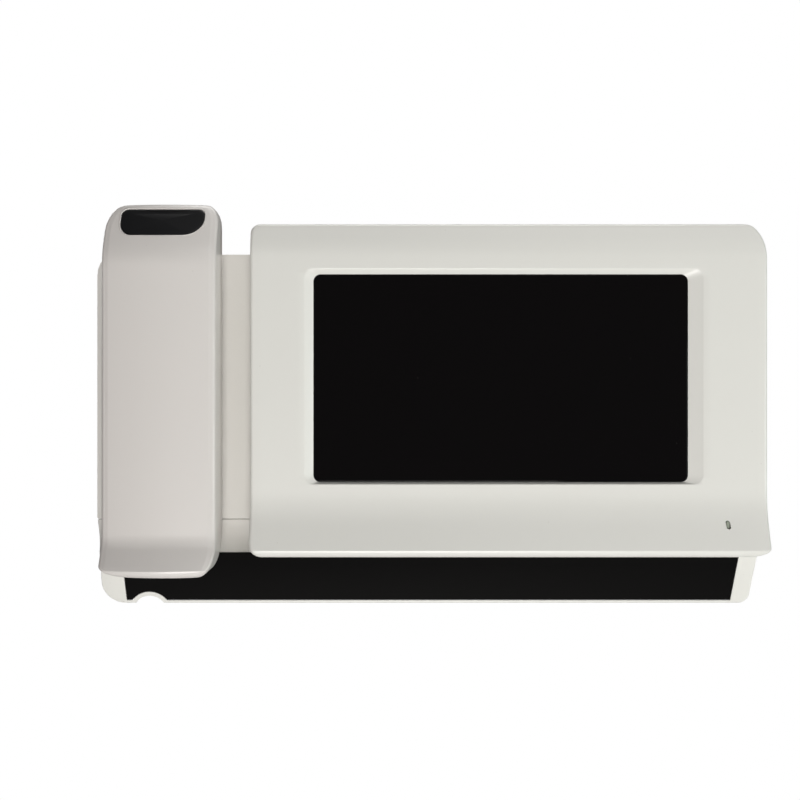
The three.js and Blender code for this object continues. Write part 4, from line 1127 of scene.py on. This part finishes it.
# %% [markdown]
# ## Everything else
# The back, the bracket, the screws and the electronics keep the frame's own geometry. The larger
# mouldings are copied, merged and given a small bevel, because a real moulding never has a knife
# edge. A bevel beside a large flat face would bend that face's shading, so the normals are then
# weighted by area. The small inner parts only need their finish.

# %% Copies with broken edges
FLAT_ANGLE, BEVEL_ANGLE = 0.5, 35.0
AREA_WEIGHT = 100


def refined(name, node, width):
    """A merged copy of a frame node with fine bevels, its normals weighted by face area."""
    mesh = nodes[node].data.copy()
    soft = bmesh.new()
    soft.from_mesh(mesh)
    bmesh.ops.remove_doubles(soft, verts=soft.verts, dist=1e-6)
    flat = math.radians(FLAT_ANGLE)
    bmesh.ops.dissolve_limit(soft, angle_limit=flat, verts=soft.verts, edges=soft.edges)
    soft.to_mesh(mesh)
    soft.free()
    made = as_object(name, mesh)
    bevel = made.modifiers.new("bevel", "BEVEL")
    bevel.width = width * MM
    bevel.segments = 2
    bevel.limit_method = "ANGLE"
    bevel.angle_limit = math.radians(BEVEL_ANGLE)
    bevel.use_clamp_overlap = True
    keep_result(made)
    finish_piece(made, node)
    weighted = made.modifiers.new("weighted", "WEIGHTED_NORMAL")
    weighted.weight = AREA_WEIGHT
    weighted.keep_sharp = True
    keep_result(made)


COPIES = (
    ("back_tray", "rear_housing", 0.3),
    ("hanger", "wall_bracket", 0.15),
    ("cradle_plate", "cradle_panel", 0.4),
    ("handset_back", "handset_rear_shell", 0.3),
    ("plunger", "hook_plunger", 0.2),
)
for name, node, width in COPIES:
    refined(name, node, width)

# %% Finishes on the frame's own pieces
rebuilt = {"front_cover", "screen_lens", "status_light_pipe", "lower_housing", "key_strip"}
rebuilt |= {"handset_front_shell", "ear_insert"}
rebuilt |= {node for name, node, width in COPIES}
for node, made in nodes.items():
    if node not in rebuilt:
        made.data.materials.clear()
        made.data.materials.append(finish_of(node))
print("frame pieces shown as they are:", len(nodes) - len(rebuilt))

# %% [markdown]
# ## Floor and sizes
# The monitor hangs on a wall that isn't part of it, so a pale floor lies well below it, out of
# sight in the front view.

# %% Floor
FLOOR_Z, FLOOR_HALF = -1.3, 4.0
FLOOR_GLOW = 0.5
corner_signs = ((-1, -1), (1, -1), (1, 1), (-1, 1))
floor_mesh = bpy.data.meshes.new("floor")
floor_corners = [(x * FLOOR_HALF, y * FLOOR_HALF, FLOOR_Z) for x, y in corner_signs]
floor_mesh.from_pydata(floor_corners, [], [(0, 1, 2, 3)])
floor = as_object("floor", floor_mesh)
floor_paint = moulded("floor_paint", (0.82, 0.82, 0.81), 0.8, grain=40.0, drift=0.02, dust=0.0)

# The lamps light the monitor and hardly the floor, so it glows a little for the camera alone.
tree = floor_paint.node_tree
shader = tree.nodes["Principled BSDF"]
shader.inputs["Emission Color"].default_value = (1, 1, 1, 1)
seen_directly = tree.nodes.new("ShaderNodeLightPath").outputs["Is Camera Ray"]
glow = add_math(tree, "MULTIPLY", seen_directly, FLOOR_GLOW)
tree.links.new(glow, shader.inputs["Emission Strength"])
floor.data.materials.append(floor_paint)
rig.stage(floor)
print("floor at", FLOOR_Z, "m")

# %% Sizes, written to extents.json
with open("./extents.json", "w") as out:
    json.dump({"cad": [list(map(float, c)) for c in cad_box],
               "visual": [list(map(float, c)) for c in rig.bounds()]}, out)
print(open("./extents.json").read())
